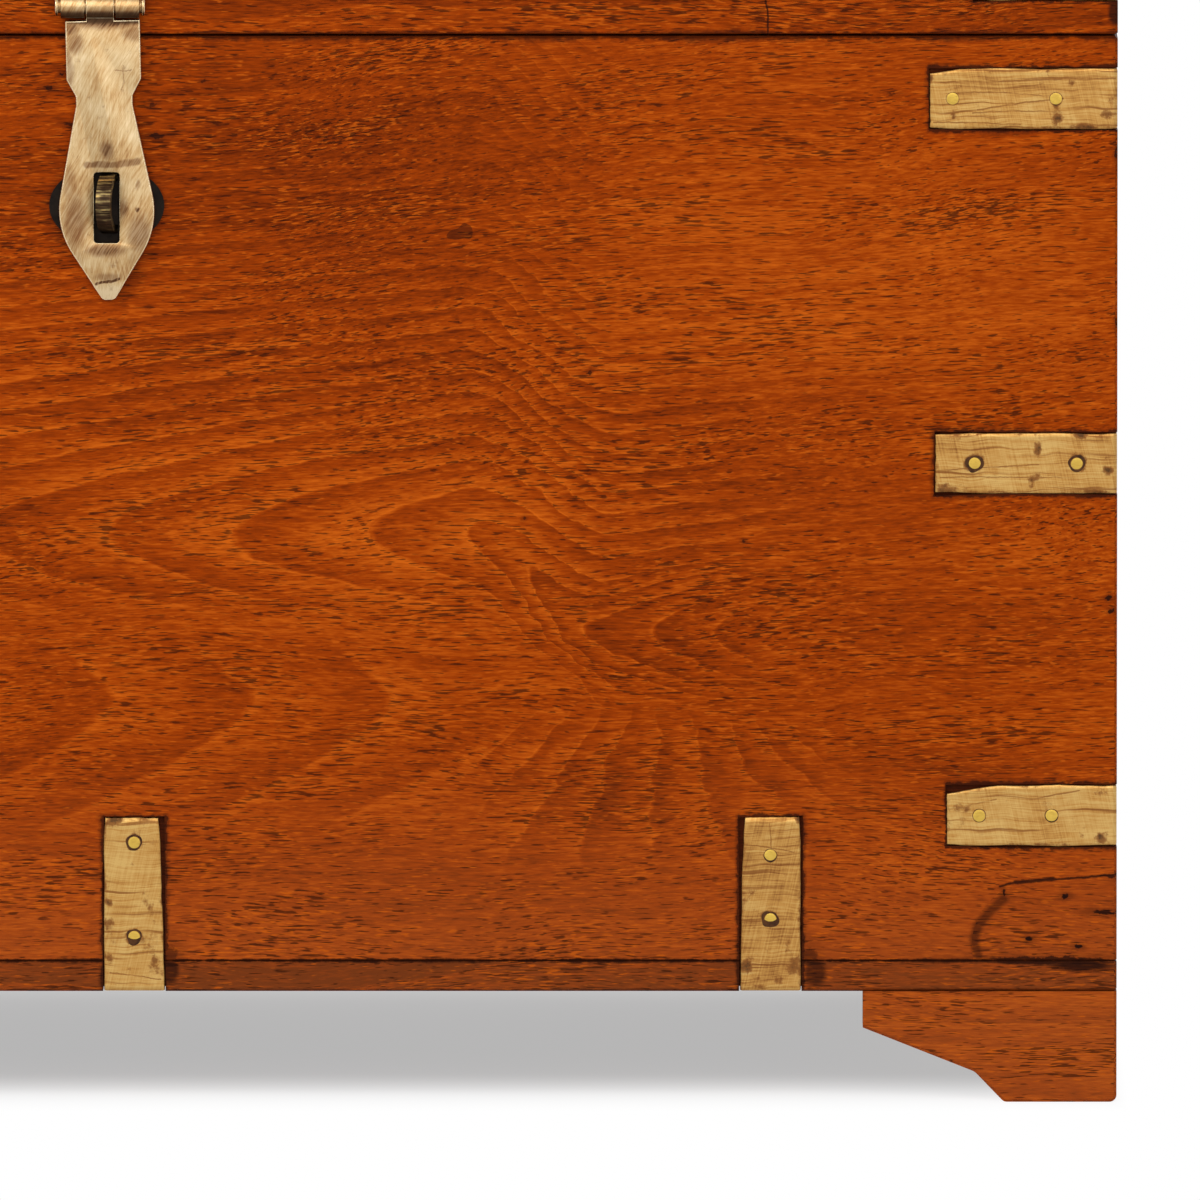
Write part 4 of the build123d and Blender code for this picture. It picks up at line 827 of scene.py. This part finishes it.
class Strap:
    """One strap: its corner, which way its first leg runs and faces, and its sizes."""

    def __init__(self, node, kind, number):
        low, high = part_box(node)
        centre = (low + high) / 2
        self.node, self.number = node, number
        self.body = "lid" if node.startswith("lid") else "chest"
        if kind in ("under", "over"):
            rise = 1.0 if kind == "under" else -1.0
            self.corner = Vector((centre.x, FRONT, low.z if kind == "under" else high.z))
            self.run, self.outward, self.across = Vector((0, 0, rise)), Vector((0, -1, 0)), Vector((1, 0, 0))
            self.lengths = (high.z - low.z, high.y - low.y)
        else:
            right, front = copysign(1.0, centre.x), "front" in node
            self.corner = Vector((right * SIDE, FRONT if front else BACK, centre.z))
            self.run, self.outward = Vector((-right, 0, 0)), Vector((0, -1 if front else 1, 0))
            self.across = Vector((0, 0, 1))
            self.lengths = (high.x - low.x, high.y - low.y)
        self.pins = PIN_PLACES.get(node, PIN_PLACES[kind])
        self.filed_across = kind in ("under", "over")
        self.turned = STRAP_DEPTH * pi / 2
        self.length = sum(self.lengths) - 2 * STRAP_DEPTH + self.turned

    def flat_pins(self):
        """Where the pins are along the flat strap, from the first leg's end."""
        first = [self.lengths[0] - place * MM for place in self.pins[0]]
        second = [self.lengths[0] - 2 * STRAP_DEPTH + self.turned + place * MM for place in self.pins[1]]
        return first + second

    def fold(self, point):
        """Where a point of the flat strap goes: X along it, Y across, Z out of it."""
        past = point.x - (self.lengths[0] - STRAP_DEPTH)
        angle = min(max(past / STRAP_DEPTH, 0.0), pi / 2)
        facing = self.outward * cos(angle) - self.run * sin(angle)
        place = self.corner + (self.run - self.outward) * STRAP_DEPTH + facing * (STRAP_DEPTH + point.z)
        place += self.run * max(-past, 0.0) - self.outward * max(past - self.turned, 0.0)
        return place + self.across * point.y

    def blank(self):
        """The strap cut, worn and bent, with what its brass needs to know kept on the mesh."""
        shape = self.sheet()
        self.wear_edges(shape)
        self.keep_chart(shape)
        self.bend(shape)
        return shape

    def sheet(self):
        """The flat strap: a grid twice over, a unit wide, with lines across it where it bends."""
        shape = bmesh.new()
        size = Matrix.Translation((self.length / 2, 0.0, 0.0)) @ Matrix.Diagonal((self.length, 1.0, 1.0, 1.0))
        along = round(self.length / STRAP_STEP)
        bmesh.ops.create_grid(shape, x_segments=along, y_segments=18, size=0.5, matrix=size)
        for step in range(7):
            place = Vector((self.lengths[0] - STRAP_DEPTH + self.turned * step / 6, 0.0, 0.0))
            parts = [*shape.verts, *shape.edges, *shape.faces]
            bmesh.ops.bisect_plane(shape, geom=parts, plane_co=place, plane_no=(1.0, 0.0, 0.0), dist=0.05 * MM)
        bmesh.ops.solidify(shape, geom=shape.faces, thickness=0.9)
        return shape

    def clean_pins(self):
        """Each pin's place and how far round it the brass is rubbed clean."""
        places = self.flat_pins()
        looks = [look[0] for look in PIN_LOOKS.get(self.node, ())]
        looks += [0.6] * (len(places) - len(looks))
        return [(place, 2.4 * MM * max(0.0, 1.0 - look)) for place, look in zip(places, looks)]

    def wear_edges(self, shape):
        """Give the flat strap its width, hand-cut edges and worn rims, and keep distances from rim and pins."""
        waver = bpy.context.scene.chest_brass.edge_waver
        cut_side, cut_depth, cut_reach = SKEW_CUTS.get(self.node, (1.0, 0.0, 1.0))
        lowest = min(vertex.co.z for vertex in shape.verts)
        rim_layer = shape.verts.layers.float.new("rim")
        pin_layer = shape.verts.layers.float.new("pins")
        pins = self.clean_pins()
        half = STRAP_WIDTH / 2
        for vertex in shape.verts:
            x, y, z = vertex.co
            top = z > lowest + 0.45
            share = 1.0 - (1.0 - min(abs(2 * y), 1.0)) ** 1.8
            ending = min(x, self.length - x)
            if 0.05 * MM < ending < 1.5 * STRAP_STEP:
                ending = 0.3 * MM
            x = ending if x < self.length / 2 else self.length - ending
            rim = min(ending, half * (1.0 - share))
            pin = min(Vector((x - place, half * share)).length + clean for place, clean in pins)
            vertex[rim_layer], vertex[pin_layer] = rim, pin
            seed = 37.0 * self.number + copysign(5.0, y)
            slow = noise.noise((x / (19.0 * MM), seed, 0.0)) * 1.35
            slow += noise.noise((x / (4.5 * MM), seed, 3.0)) * 0.45
            side = copysign(half * share + waver * slow * share ** 3, y)
            corner = max(0.0, 1.0 - ending / (11.0 * MM)) * (0.5 + noise.noise((seed, ending * 10, 1.0)))
            side -= copysign(1.1 * MM * max(corner, 0.0) * share ** 4, y)
            if y * cut_side > 0.0:
                side -= cut_side * cut_depth * MM * max(0.0, 1.0 - x / (cut_reach * MM)) * share ** 2
            ragged = noise.noise((y * 9.0, seed, 7.0)) * 1.3 + noise.noise((y * 34.0, seed, 9.0)) * 0.8
            near_end = max(0.0, 1.0 - ending / (3.0 * MM))
            x += copysign(waver * ragged * near_end, self.length / 2 - x)
            swell = noise.noise((x / (8.0 * MM), side / (8.0 * MM), seed))
            worn = 0.34 * MM * max(0.0, 1.0 - rim / (0.9 * MM)) ** 2
            depth = -0.07 * MM + 0.05 * MM * swell - worn if top else -STRAP_DEPTH + 0.05 * MM
            vertex.co = (x, side, depth)

    def keep_chart(self, shape):
        """UV in metres, the first along the filing, and moved on from strap to strap."""
        chart = shape.loops.layers.uv.new("UVMap")
        moved = 0.61 * self.number
        for face in shape.faces:
            for loop in face.loops:
                along, over = loop.vert.co.xy
                loop[chart].uv = (over + moved, along) if self.filed_across else (along + moved, over)

    def bend(self, shape):
        """Fold the flat strap round its corner, and keep its shade and smudges."""
        smudge_layer = shape.verts.layers.float.new("smudge")
        shade_layer = shape.verts.layers.float.new("shade")
        shade = STRAP_SHADES.get(self.node, 0.10 * noise.noise((self.number * 5.3, 2.0, 0.0)))
        soft = 0.8 * MM
        for vertex in shape.verts:
            vertex.co = self.fold(vertex.co)
            vertex[shade_layer] = shade
            if vertex.co.y >= FRONT + STRAP_DEPTH:
                continue
            for x, z, wide, high, depth in STRAP_SMUDGES.get(self.node, ()):
                over, up = vertex.co.x - x * MM, vertex.co.z - z * MM
                out = Vector((over / (wide * MM + soft), up / (high * MM + soft))).length
                smudge = depth * min(1.0, max(0.0, 1.35 * (1.0 - out)))
                vertex[smudge_layer] = max(vertex[smudge_layer], smudge)


# How far a side is cut in at a strap's first end, in millimetres: (side, depth, reach along the strap)
SKEW_CUTS = {
    "corner_strap_front_right_top": (1.0, 1.6, 13.0), "corner_strap_front_right_bottom": (1.0, 3.0, 21.0),
    "bottom_strap_middle": (1.0, 2.0, 74.0), "bottom_strap_right": (-1.0, 1.5, 74.0),
    "corner_strap_front_left_top": (-1.0, 1.2, 18.0), "corner_strap_rear_right_top": (1.0, 1.0, 30.0),
}
# How much paler or darker than the others a strap is
STRAP_SHADES = {
    "corner_strap_front_right_top": -0.03, "corner_strap_front_right_middle": 0.05,
    "corner_strap_front_right_bottom": 0.10,
    "bottom_strap_middle": 0.10, "bottom_strap_right": -0.12,
}
# Soft smudges on the straps of the front, as ovals of the XZ plane in millimetres
STRAP_SMUDGES = {
    "corner_strap_front_right_top": (
        (405.5, 431.5, 1.8, 2.6, 0.8), (399.7, 416.6, 2.4, 3.4, 1.0), (399.0, 421.6, 1.4, 1.6, 0.9),
        (422.6, 423.1, 3.4, 2.4, 0.8), (420.0, 417.9, 3.6, 2.6, 0.8), (356.2, 428.9, 4.0, 1.6, 0.5),
        (355.8, 416.7, 1.2, 1.4, 0.9), (347.4, 432.0, 1.2, 2.6, 0.8), (411.0, 412.9, 13.0, 0.9, 0.7),
        (396.0, 432.0, 6.0, 2.4, 0.4),
    ),
    "corner_strap_front_right_middle": (
        (391.5, 276.4, 2.0, 3.4, 1.0), (390.4, 264.3, 3.8, 1.8, 0.9), (388.6, 260.6, 1.5, 2.2, 0.8),
        (352.5, 260.0, 7.0, 2.8, 0.85), (409.4, 282.5, 3.4, 2.2, 0.9), (421.0, 272.7, 2.4, 1.2, 0.8),
        (421.0, 267.0, 2.4, 2.6, 0.8), (415.7, 258.8, 9.0, 1.6, 0.85), (362.0, 270.6, 3.6, 4.2, 0.7),
        (373.6, 258.8, 9.0, 1.0, 0.6),
    ),
    "corner_strap_front_right_bottom": (
        (357.8, 124.3, 4.6, 1.8, 0.8), (362.0, 124.3, 1.5, 2.4, 0.9), (366.2, 123.0, 1.6, 1.6, 0.7),
        (352.2, 125.3, 1.2, 4.2, 0.8), (418.3, 112.7, 2.2, 3.4, 0.9), (409.9, 112.7, 1.0, 2.6, 0.7),
        (418.9, 131.0, 3.5, 1.6, 0.5), (366.2, 112.7, 3.0, 2.0, 0.35),
    ),
    "bottom_strap_middle": (
        (13.9, 116.9, 4.8, 5.4, 0.6), (1.7, 118.8, 4.0, 2.2, 0.8), (0.6, 84.7, 1.2, 1.6, 0.9),
        (17.0, 84.2, 3.5, 6.0, 0.5), (1.0, 73.7, 2.0, 9.0, 0.6), (17.4, 66.6, 4.0, 7.0, 0.5),
        (19.3, 59.0, 2.5, 6.0, 0.6), (9.3, 56.9, 1.8, 1.3, 0.8), (1.2, 59.0, 1.3, 7.0, 0.6),
    ),
    "bottom_strap_right": (
        (291.0, 119.6, 1.6, 2.0, 0.8), (270.0, 84.2, 5.0, 8.0, 0.45), (269.4, 56.9, 2.5, 5.5, 0.95),
        (273.6, 52.6, 1.3, 1.6, 0.8), (282.5, 51.0, 3.0, 2.6, 0.85), (288.3, 56.9, 3.8, 5.6, 1.0),
        (286.2, 65.3, 2.0, 6.0, 0.5), (273.5, 48.9, 5.0, 1.1, 0.7),
    ),
}
# How thick the ring of dirt is, and how far that dirt is drawn over the lower side of the head as painted
# shade, for the front's pins, the one nearest the bend first
PIN_LOOKS = {
    "corner_strap_front_right_top": ((0.12, 0.0), (0.10, 0.0)),
    "corner_strap_front_right_middle": ((1.1, 0.0), (1.0, 0.2)),
    "corner_strap_front_right_bottom": ((0.25, 0.15), (0.2, 0.0)),
    "bottom_strap_middle": ((0.9, 0.9), (0.9, 0.1)),
    "bottom_strap_right": ((1.2, 0.9), (0.2, 0.3)),
}
# How far each leg's pins are from the corner, in millimetres, by the kind of strap or by its node
PIN_PLACES = {
    "top": ((26.0, 69.5), (20.0, 52.0)),
    "middle": ((17.0, 60.0), (20.0, 52.0)),
    "bottom": ((27.5, 58.0), (20.0, 52.0)),
    "lid": ((40.0,), (40.0,)),
    "under": ((30.5, 57.5), (34.0,)),
    "over": ((30.0,), (46.0,)),
    "bottom_strap_middle": ((23.0, 63.0), (34.0,)),
}


def strap_kind(node):
    """Which way a strap goes, from its node's name."""
    if node.startswith("corner_strap"):
        return node.rsplit("_", 1)[1]
    if node.startswith("bottom_strap"):
        return "under"
    return "over" if "edge" in node else "lid"


def pin_pattern():
    """One filed pin head with a ring of dirt round it, its face at Z 0, as a mesh to repeat."""
    radius = bpy.context.scene.chest_brass.pin_radius
    shape = bmesh.new()
    rings = (
        (((0.0, -0.025), (0.55, -0.028), (0.86, -0.040), (0.97, -0.10), (1.0, -0.3), (1.0, -1.9)), 0),
        (((0.99, -0.008), (1.32, -0.035)), 1),
    )
    for profile, material in rings:
        line = [shape.verts.new((share * radius, 0.0, height * MM)) for share, height in profile]
        edges = [shape.edges.new(pair) for pair in zip(line, line[1:])]
        before = set(shape.faces)
        bmesh.ops.spin(
            shape, geom=line + edges, axis=(0, 0, 1), cent=(0, 0, 0), angle=2 * pi, steps=28, use_merge=True
        )
        for face in set(shape.faces) - before:
            face.material_index = material
    bmesh.ops.remove_doubles(shape, verts=shape.verts, dist=0.005 * MM)
    mesh = bpy.data.meshes.new("pin_pattern")
    shape.to_mesh(mesh)
    shape.free()
    return mesh


def add_pins(shape, strap, pattern, number):
    """Put a strap's pins into a bmesh, each with its own ring of dirt, which is drawn over the lower side of
    some heads as painted shade.
    """
    radius = bpy.context.scene.chest_brass.pin_radius
    for order, place in enumerate(strap.flat_pins()):
        number += 1
        shape.from_mesh(pattern)
        shape.verts.ensure_lookup_table()
        looks = PIN_LOOKS.get(strap.node, ())
        thick, painted_shade = 0.2 + 1.3 * abs(noise.noise((number * 3.7, 1.0, 0.0))), 0.1
        if order < len(looks):
            thick, painted_shade = looks[order]
        down = -strap.across if strap.across.z else -strap.run
        middle = Vector((place, 0.0, 0.0))
        for vertex in shape.verts[-len(pattern.vertices):]:
            out = vertex.co.xy.length
            if out > 1.05 * radius:
                uneven = 1.0 + noise.noise((*(vertex.co.xy * 330.0), number * 1.9))
                vertex.co.xy *= (radius + (out - radius) * thick * uneven + 0.02 * MM) / out
            # The dirt's inner edge is pulled over the head's lower side: painted shade.
            elif vertex.co.z > -0.02 * MM:
                fall = (strap.fold(middle + vertex.co) - strap.fold(middle)).dot(down) / radius
                vertex.co.xy *= 1.0 - 0.75 * painted_shade * max(0.0, fall) ** 0.6
            vertex.co = strap.fold(Vector((place + vertex.co.x, vertex.co.y, vertex.co.z)))
    return number


class ChestOperator(bpy.types.Operator):
    """What every step of the chest has in common."""

    bl_options = {"REGISTER", "UNDO"}

    @classmethod
    def poll(cls, context):
        return context.scene is not None


class CHEST_OT_body(ChestOperator):
    """Give the body's boards their teak, with grime round the bindings and in the joints, and painted shade
    along the lid's gap and round the hasp
    """

    bl_idname = "chest.finish_body"
    bl_label = "Finish Body Boards"

    def execute(self, context):
        bottom_seam = ("Z", BODY_BOTTOM, 0.8 * MM, 0.95)
        # The lid's gap: grime in the joint, widened with painted shade.
        gap_grime_and_shade = ("Z", BODY_TOP, 1.6 * MM, 0.8)
        straps = [n for n in NODES if "strap" in n and not n.startswith("lid") and not n.endswith("pins")]
        seams = (bottom_seam, gap_grime_and_shade)
        front_straps = let_in((n for n in straps if "rear" not in n), 1)
        front = make_teak("teak_front", crown=True, seed=0.37, seams=seams, stains=front_straps)
        wear(["front_board"], front)
        patch = make_teak("teak_patch", crown=True, seed=4.45, seams=seams, stains=front_straps, darker=0.05)
        wear(["repair_patch"], patch)
        back_straps = let_in((n for n in straps if "rear" in n), 1)
        wear(["back_board"], make_teak("teak_back", seed=2.9, seams=seams, darker=0.05, stains=back_straps))
        for word, seed in (("left", 5.1), ("right", 7.3)):
            stains = let_in((n for n in straps if n.startswith("corner") and f"_{word}_" in n), 0)
            name = f"teak_{word}_side"
            side = make_teak(name, turned=True, seed=seed, stains=stains, seams=seams, darker=0.03)
            wear([f"{word}_side"], side)
        stains = let_in((n for n in straps if n.startswith("bottom")), 1)
        under_seam = ("Z", FOOT_TOP, 0.7 * MM, 0.55)
        seams = (bottom_seam, under_seam)
        bottom = make_teak("teak_bottom", seed=9.7, stains=stains, seams=seams, darker=0.36, dark_spots=BOTTOM_CHIPS)
        wear(["bottom_board"], bottom)
        wear(["bottom_nails"], make_iron("bottom_iron"))
        return {"FINISHED"}


class CHEST_OT_feet(ChestOperator):
    """Give the bracket feet and their glue blocks their teak"""

    bl_idname = "chest.finish_feet"
    bl_label = "Finish Feet"

    def execute(self, context):
        seam = ("Z", FOOT_TOP, 0.4 * MM, 0.3)
        faces = make_teak("teak_feet", seed=12.4, seams=(seam,), darker=-0.05)
        wear([n for n in NODES if n.startswith("foot_") and n.endswith("_face")], faces)
        returns = make_teak("teak_foot_returns", turned=True, seed=14.2, seams=(seam,), darker=0.03)
        wear([n for n in NODES if n.startswith("foot_") and n.endswith("_return")], returns)
        wear(["foot_blocks"], make_teak("teak_blocks", seed=16.8, seams=(seam,), darker=0.08))
        return {"FINISHED"}


class CHEST_OT_lid(ChestOperator):
    """Give the lid's boards their teak and its nails their iron"""

    bl_idname = "chest.finish_lid"
    bl_label = "Finish Lid"

    def execute(self, context):
        straps = [n for n in NODES if n.startswith("lid_") and "strap" in n and not n.endswith("pins")]
        # The lid's gap from below: grime in the joint, with painted shade.
        seam = ("Z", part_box("lid_front_rail")[0].z, 1.2 * MM, 0.7)
        stains = let_in((n for n in straps if "rear" not in n), 1)
        front = make_teak(
            "teak_lid_front", seed=19.6, stains=stains, seams=(seam,), darker=0.11,
            cracks=(LID_CRACK,), dark_spots=LID_CHIPS_AND_SHADE,
        )
        wear(["lid_front_rail"], front)
        rear = let_in((n for n in straps if "rear" in n), 1)
        back = make_teak("teak_lid_back", seed=31.8, stains=rear, seams=(seam,), darker=0.08)
        wear(["lid_back_rail"], back)
        corners = let_in((n for n in straps if "edge" not in n), 0)
        ends = make_teak("teak_lid_ends", turned=True, seed=22.3, stains=corners, seams=(seam,), darker=0.08)
        wear(["lid_left_rail", "lid_right_rail"], ends)
        edges = let_in((n for n in straps if "edge" in n), 2)
        wear(["lid_top"], make_teak("teak_lid_top", seed=25.1, stains=edges, darker=0.02))
        wear(["lid_nails"], make_iron("lid_iron"))
        return {"FINISHED"}


class CHEST_OT_straps(ChestOperator):
    """Make the brass straps with hand-cut edges and the filed pins that hold them"""

    bl_idname = "chest.make_straps"
    bl_label = "Make Straps and Pins"

    def execute(self, context):
        brass = make_strap_brass("strap_brass")
        colours = context.scene.chest_brass
        filed = make_plain_brass("pin_brass", (0.500, 0.310, 0.058), colours.pin, tarnish=0.3)
        grime_and_shade = make_pin_grime_and_shade("pin_grime_and_shade")
        pattern = pin_pattern()
        nodes = sorted(n for n in NODES if "strap" in n and not n.endswith("pins"))
        pins = {n: bmesh.new() for n in ("corner_strap_pins", "bottom_strap_pins", "lid_strap_pins")}
        number = 0
        for index, node in enumerate(nodes):
            strap = Strap(node, strap_kind(node), index)
            new_piece(f"{node}_brass", strap.blank(), strap.body, [brass], node)
            number = add_pins(pins[f"{node.split('_')[0]}_strap_pins"], strap, pattern, number)
        for node, shape in pins.items():
            body = "lid" if node.startswith("lid") else "chest"
            new_piece(f"{node}_filed", shape, body, [filed, grime_and_shade], node)
        bpy.data.meshes.remove(pattern)
        return {"FINISHED"}


class CHEST_OT_hasp(ChestOperator):
    """Make the hasp and its leaf with rubbed edges, and finish their pin and rivets"""

    bl_idname = "chest.make_hasp"
    bl_label = "Make Hasp"

    def execute(self, context):
        colours = context.scene.chest_brass
        worn = (0.92, 0.76, 0.50)
        rubbed = make_plain_brass("rubbed_edge_brass", colours.silky, worn, roughness_low=0.16, tarnish=0.2)
        brushed = make_hasp_brass("hasp_brass")
        leaf = make_hasp_brass("leaf_brass", marked=False)
        plate = rounded_copy("hasp_plate", 0.50 * MM)
        free_knuckle(plate)
        new_piece("hasp_plate_brass", plate, "hasp", [brushed, rubbed], "hasp_plate")
        new_piece("hasp_leaf_brass", rounded_copy("hasp_leaf", 0.30 * MM), "lid", [leaf, rubbed], "hasp_leaf")
        new_piece("hasp_pin_brass", rounded_copy("hasp_pin", 0.25 * MM), "lid", [leaf, rubbed], "hasp_pin")
        wear(["hasp_rivets"], make_plain_brass("rivet_brass", colours.plain, colours.pin))
        return {"FINISHED"}


class CHEST_OT_staple(ChestOperator):
    """Make the staple with rubbed edges, and finish the plate behind it"""

    bl_idname = "chest.make_staple"
    bl_label = "Make Staple"

    def execute(self, context):
        colours = context.scene.chest_brass
        edges = make_plain_brass("staple_edge_brass", colours.plain, colours.silky, roughness_low=0.2)
        finishes = [make_aged_brass("staple_dark"), edges]
        new_piece("staple_brass", rounded_copy("staple", 0.35 * MM), "chest", finishes, "staple")
        wear(["staple_plate"], make_iron("plate_iron", rust=(0.016, 0.010, 0.007), metal=0.0, shine=0.03))
        return {"FINISHED"}


class CHEST_OT_hinges(ChestOperator):
    """Finish the butt hinges and their screws"""

    bl_idname = "chest.finish_hinges"
    bl_label = "Finish Hinges"

    def execute(self, context):
        colours = context.scene.chest_brass
        dull = make_plain_brass("hinge_brass", colours.tarnish, colours.plain, tarnish=0.7)
        wear([n for n in NODES if n.startswith("hinge_")], dull)
        return {"FINISHED"}


class CHEST_OT_stage(ChestOperator):
    """Set out the floor, the lights, the sky and the camera"""

    bl_idname = "chest.set_stage"
    bl_label = "Set Stage"

    def execute(self, context):
        settings = context.scene.chest_stage
        make_floor(settings)
        make_light("soft_light", (0.1, -2.7, 1.75), (0.0, 0.0, 0.15), (3.2, 2.2), settings.soft_power)
        make_light("key_light", (-1.7, -1.5, 1.9), (0.1, 0.0, 0.25), (0.9, 0.9), settings.key_power)
        make_sky(context.scene, settings)
        make_camera(context.scene, settings)
        context.scene.view_settings.view_transform = "Standard"
        return {"FINISHED"}


def make_floor(settings):
    """A pale floor that keeps the chest's shadow and is white further out."""
    mesh = bpy.data.meshes.new("floor")
    shape = bmesh.new()
    bmesh.ops.create_grid(shape, x_segments=2, y_segments=2, size=12.0)
    shape.to_mesh(mesh)
    shape.free()
    floor = bpy.data.objects.new("floor", mesh)
    bpy.context.scene.collection.objects.link(floor)
    recipe = Recipe("pale_floor")
    place = recipe.parts(recipe.place)
    glow = recipe.between(place["X"], SIDE - 0.02, SIDE + 0.006)
    fades = (
        ("X", -1.0, SIDE, SIDE + 0.5),
        ("Y", -1.0, -FRONT - 0.12, -FRONT + 0.045),
        ("Y", 1.0, BACK, BACK + 0.5),
    )
    for axis, way, start, end in fades:
        glow = recipe.larger(glow, recipe.between(recipe.product(place[axis], way), start, end))
    glow = recipe.maths("MULTIPLY_ADD", glow, 1.0 - settings.shade, settings.shade)
    white = recipe.product(glow, recipe.seen_directly())
    remaining = recipe.difference(1.0, white)
    recipe.finish(Base_Color=recipe.joined(remaining, remaining, remaining), Roughness=0.9)
    recipe.finish(Emission_Color=(1.0, 1.0, 1.0, 1.0), Emission_Strength=white, Specular_IOR_Level=0.0)
    mesh.materials.append(recipe.material)


def make_light(name, place, target, size, power):
    """A rectangular lamp turned towards a target."""
    lamp = bpy.data.lights.new(name, "AREA")
    lamp.shape = "RECTANGLE"
    lamp.size, lamp.size_y = size
    lamp.energy = power
    holder = bpy.data.objects.new(name, lamp)
    bpy.context.scene.collection.objects.link(holder)
    aim = Vector(target) - Vector(place)
    holder.matrix_world = Matrix.Translation(place) @ aim.to_track_quat("-Z", "Y").to_matrix().to_4x4()


def make_sky(scene, settings):
    """A white sky to look at, which lights the chest more weakly."""
    sky = bpy.data.worlds.new("sky")
    sky.use_nodes = True
    layout = NodeLayout(sky.node_tree)
    shine = sky.node_tree.nodes["Background"].inputs
    shine["Color"].default_value = (1.0, 1.0, 1.0, 1.0)
    strength = layout.node("ShaderNodeMapRange")
    layout.feed(strength.inputs["Value"], layout.seen_directly())
    strength.inputs["To Min"].default_value = settings.sky
    layout.feed(shine["Strength"], strength.outputs[0])
    scene.world = sky


def make_camera(scene, settings):
    """A long lens square on to the front, a little above level."""
    lens = bpy.data.cameras.new("camera")
    lens.sensor_width = 36.0
    lens.lens = lens.sensor_width * settings.view_distance / settings.view_width
    lens.clip_end = 4 * settings.view_distance
    camera = bpy.data.objects.new("camera", lens)
    scene.collection.objects.link(camera)
    back = Vector((0.0, -cos(settings.view_height), sin(settings.view_height)))
    place = Vector(settings.aim) + back * settings.view_distance
    camera.matrix_world = Matrix.Translation(place) @ (-back).to_track_quat("-Z", "Y").to_matrix().to_4x4()
    scene.camera = camera


STEPS = (
    CHEST_OT_body,
    CHEST_OT_feet,
    CHEST_OT_lid,
    CHEST_OT_straps,
    CHEST_OT_hasp,
    CHEST_OT_staple,
    CHEST_OT_hinges,
    CHEST_OT_stage,
)


class CHEST_PT_panel(bpy.types.Panel):
    """Lists the steps that make the chest"""

    bl_label = "Teak Chest"
    bl_idname = "CHEST_PT_panel"
    bl_space_type = "VIEW_3D"
    bl_region_type = "UI"
    bl_category = "Chest"

    def draw(self, context):
        column = self.layout.column()
        for step in STEPS:
            column.operator(step.bl_idname)


GROUPS = {
    "chest_wood": ChestWoodSettings,
    "chest_brass": ChestBrassSettings,
    "chest_stage": ChestStageSettings,
}


def register():
    """Register the settings, the steps and the panel."""
    for name, group in GROUPS.items():
        bpy.utils.register_class(group)
        setattr(bpy.types.Scene, name, bpy.props.PointerProperty(type=group))
    for cls in (*STEPS, CHEST_PT_panel):
        bpy.utils.register_class(cls)


def unregister():
    """Take it all away again."""
    for cls in reversed((*STEPS, CHEST_PT_panel)):
        bpy.utils.unregister_class(cls)
    for name, group in reversed(GROUPS.items()):
        delattr(bpy.types.Scene, name)
        bpy.utils.unregister_class(group)


def main():
    """Make the whole chest."""
    register()
    for step in STEPS:
        group, name = step.bl_idname.split(".")
        getattr(getattr(bpy.ops, group), name)()


if __name__ == "__main__":
    main()
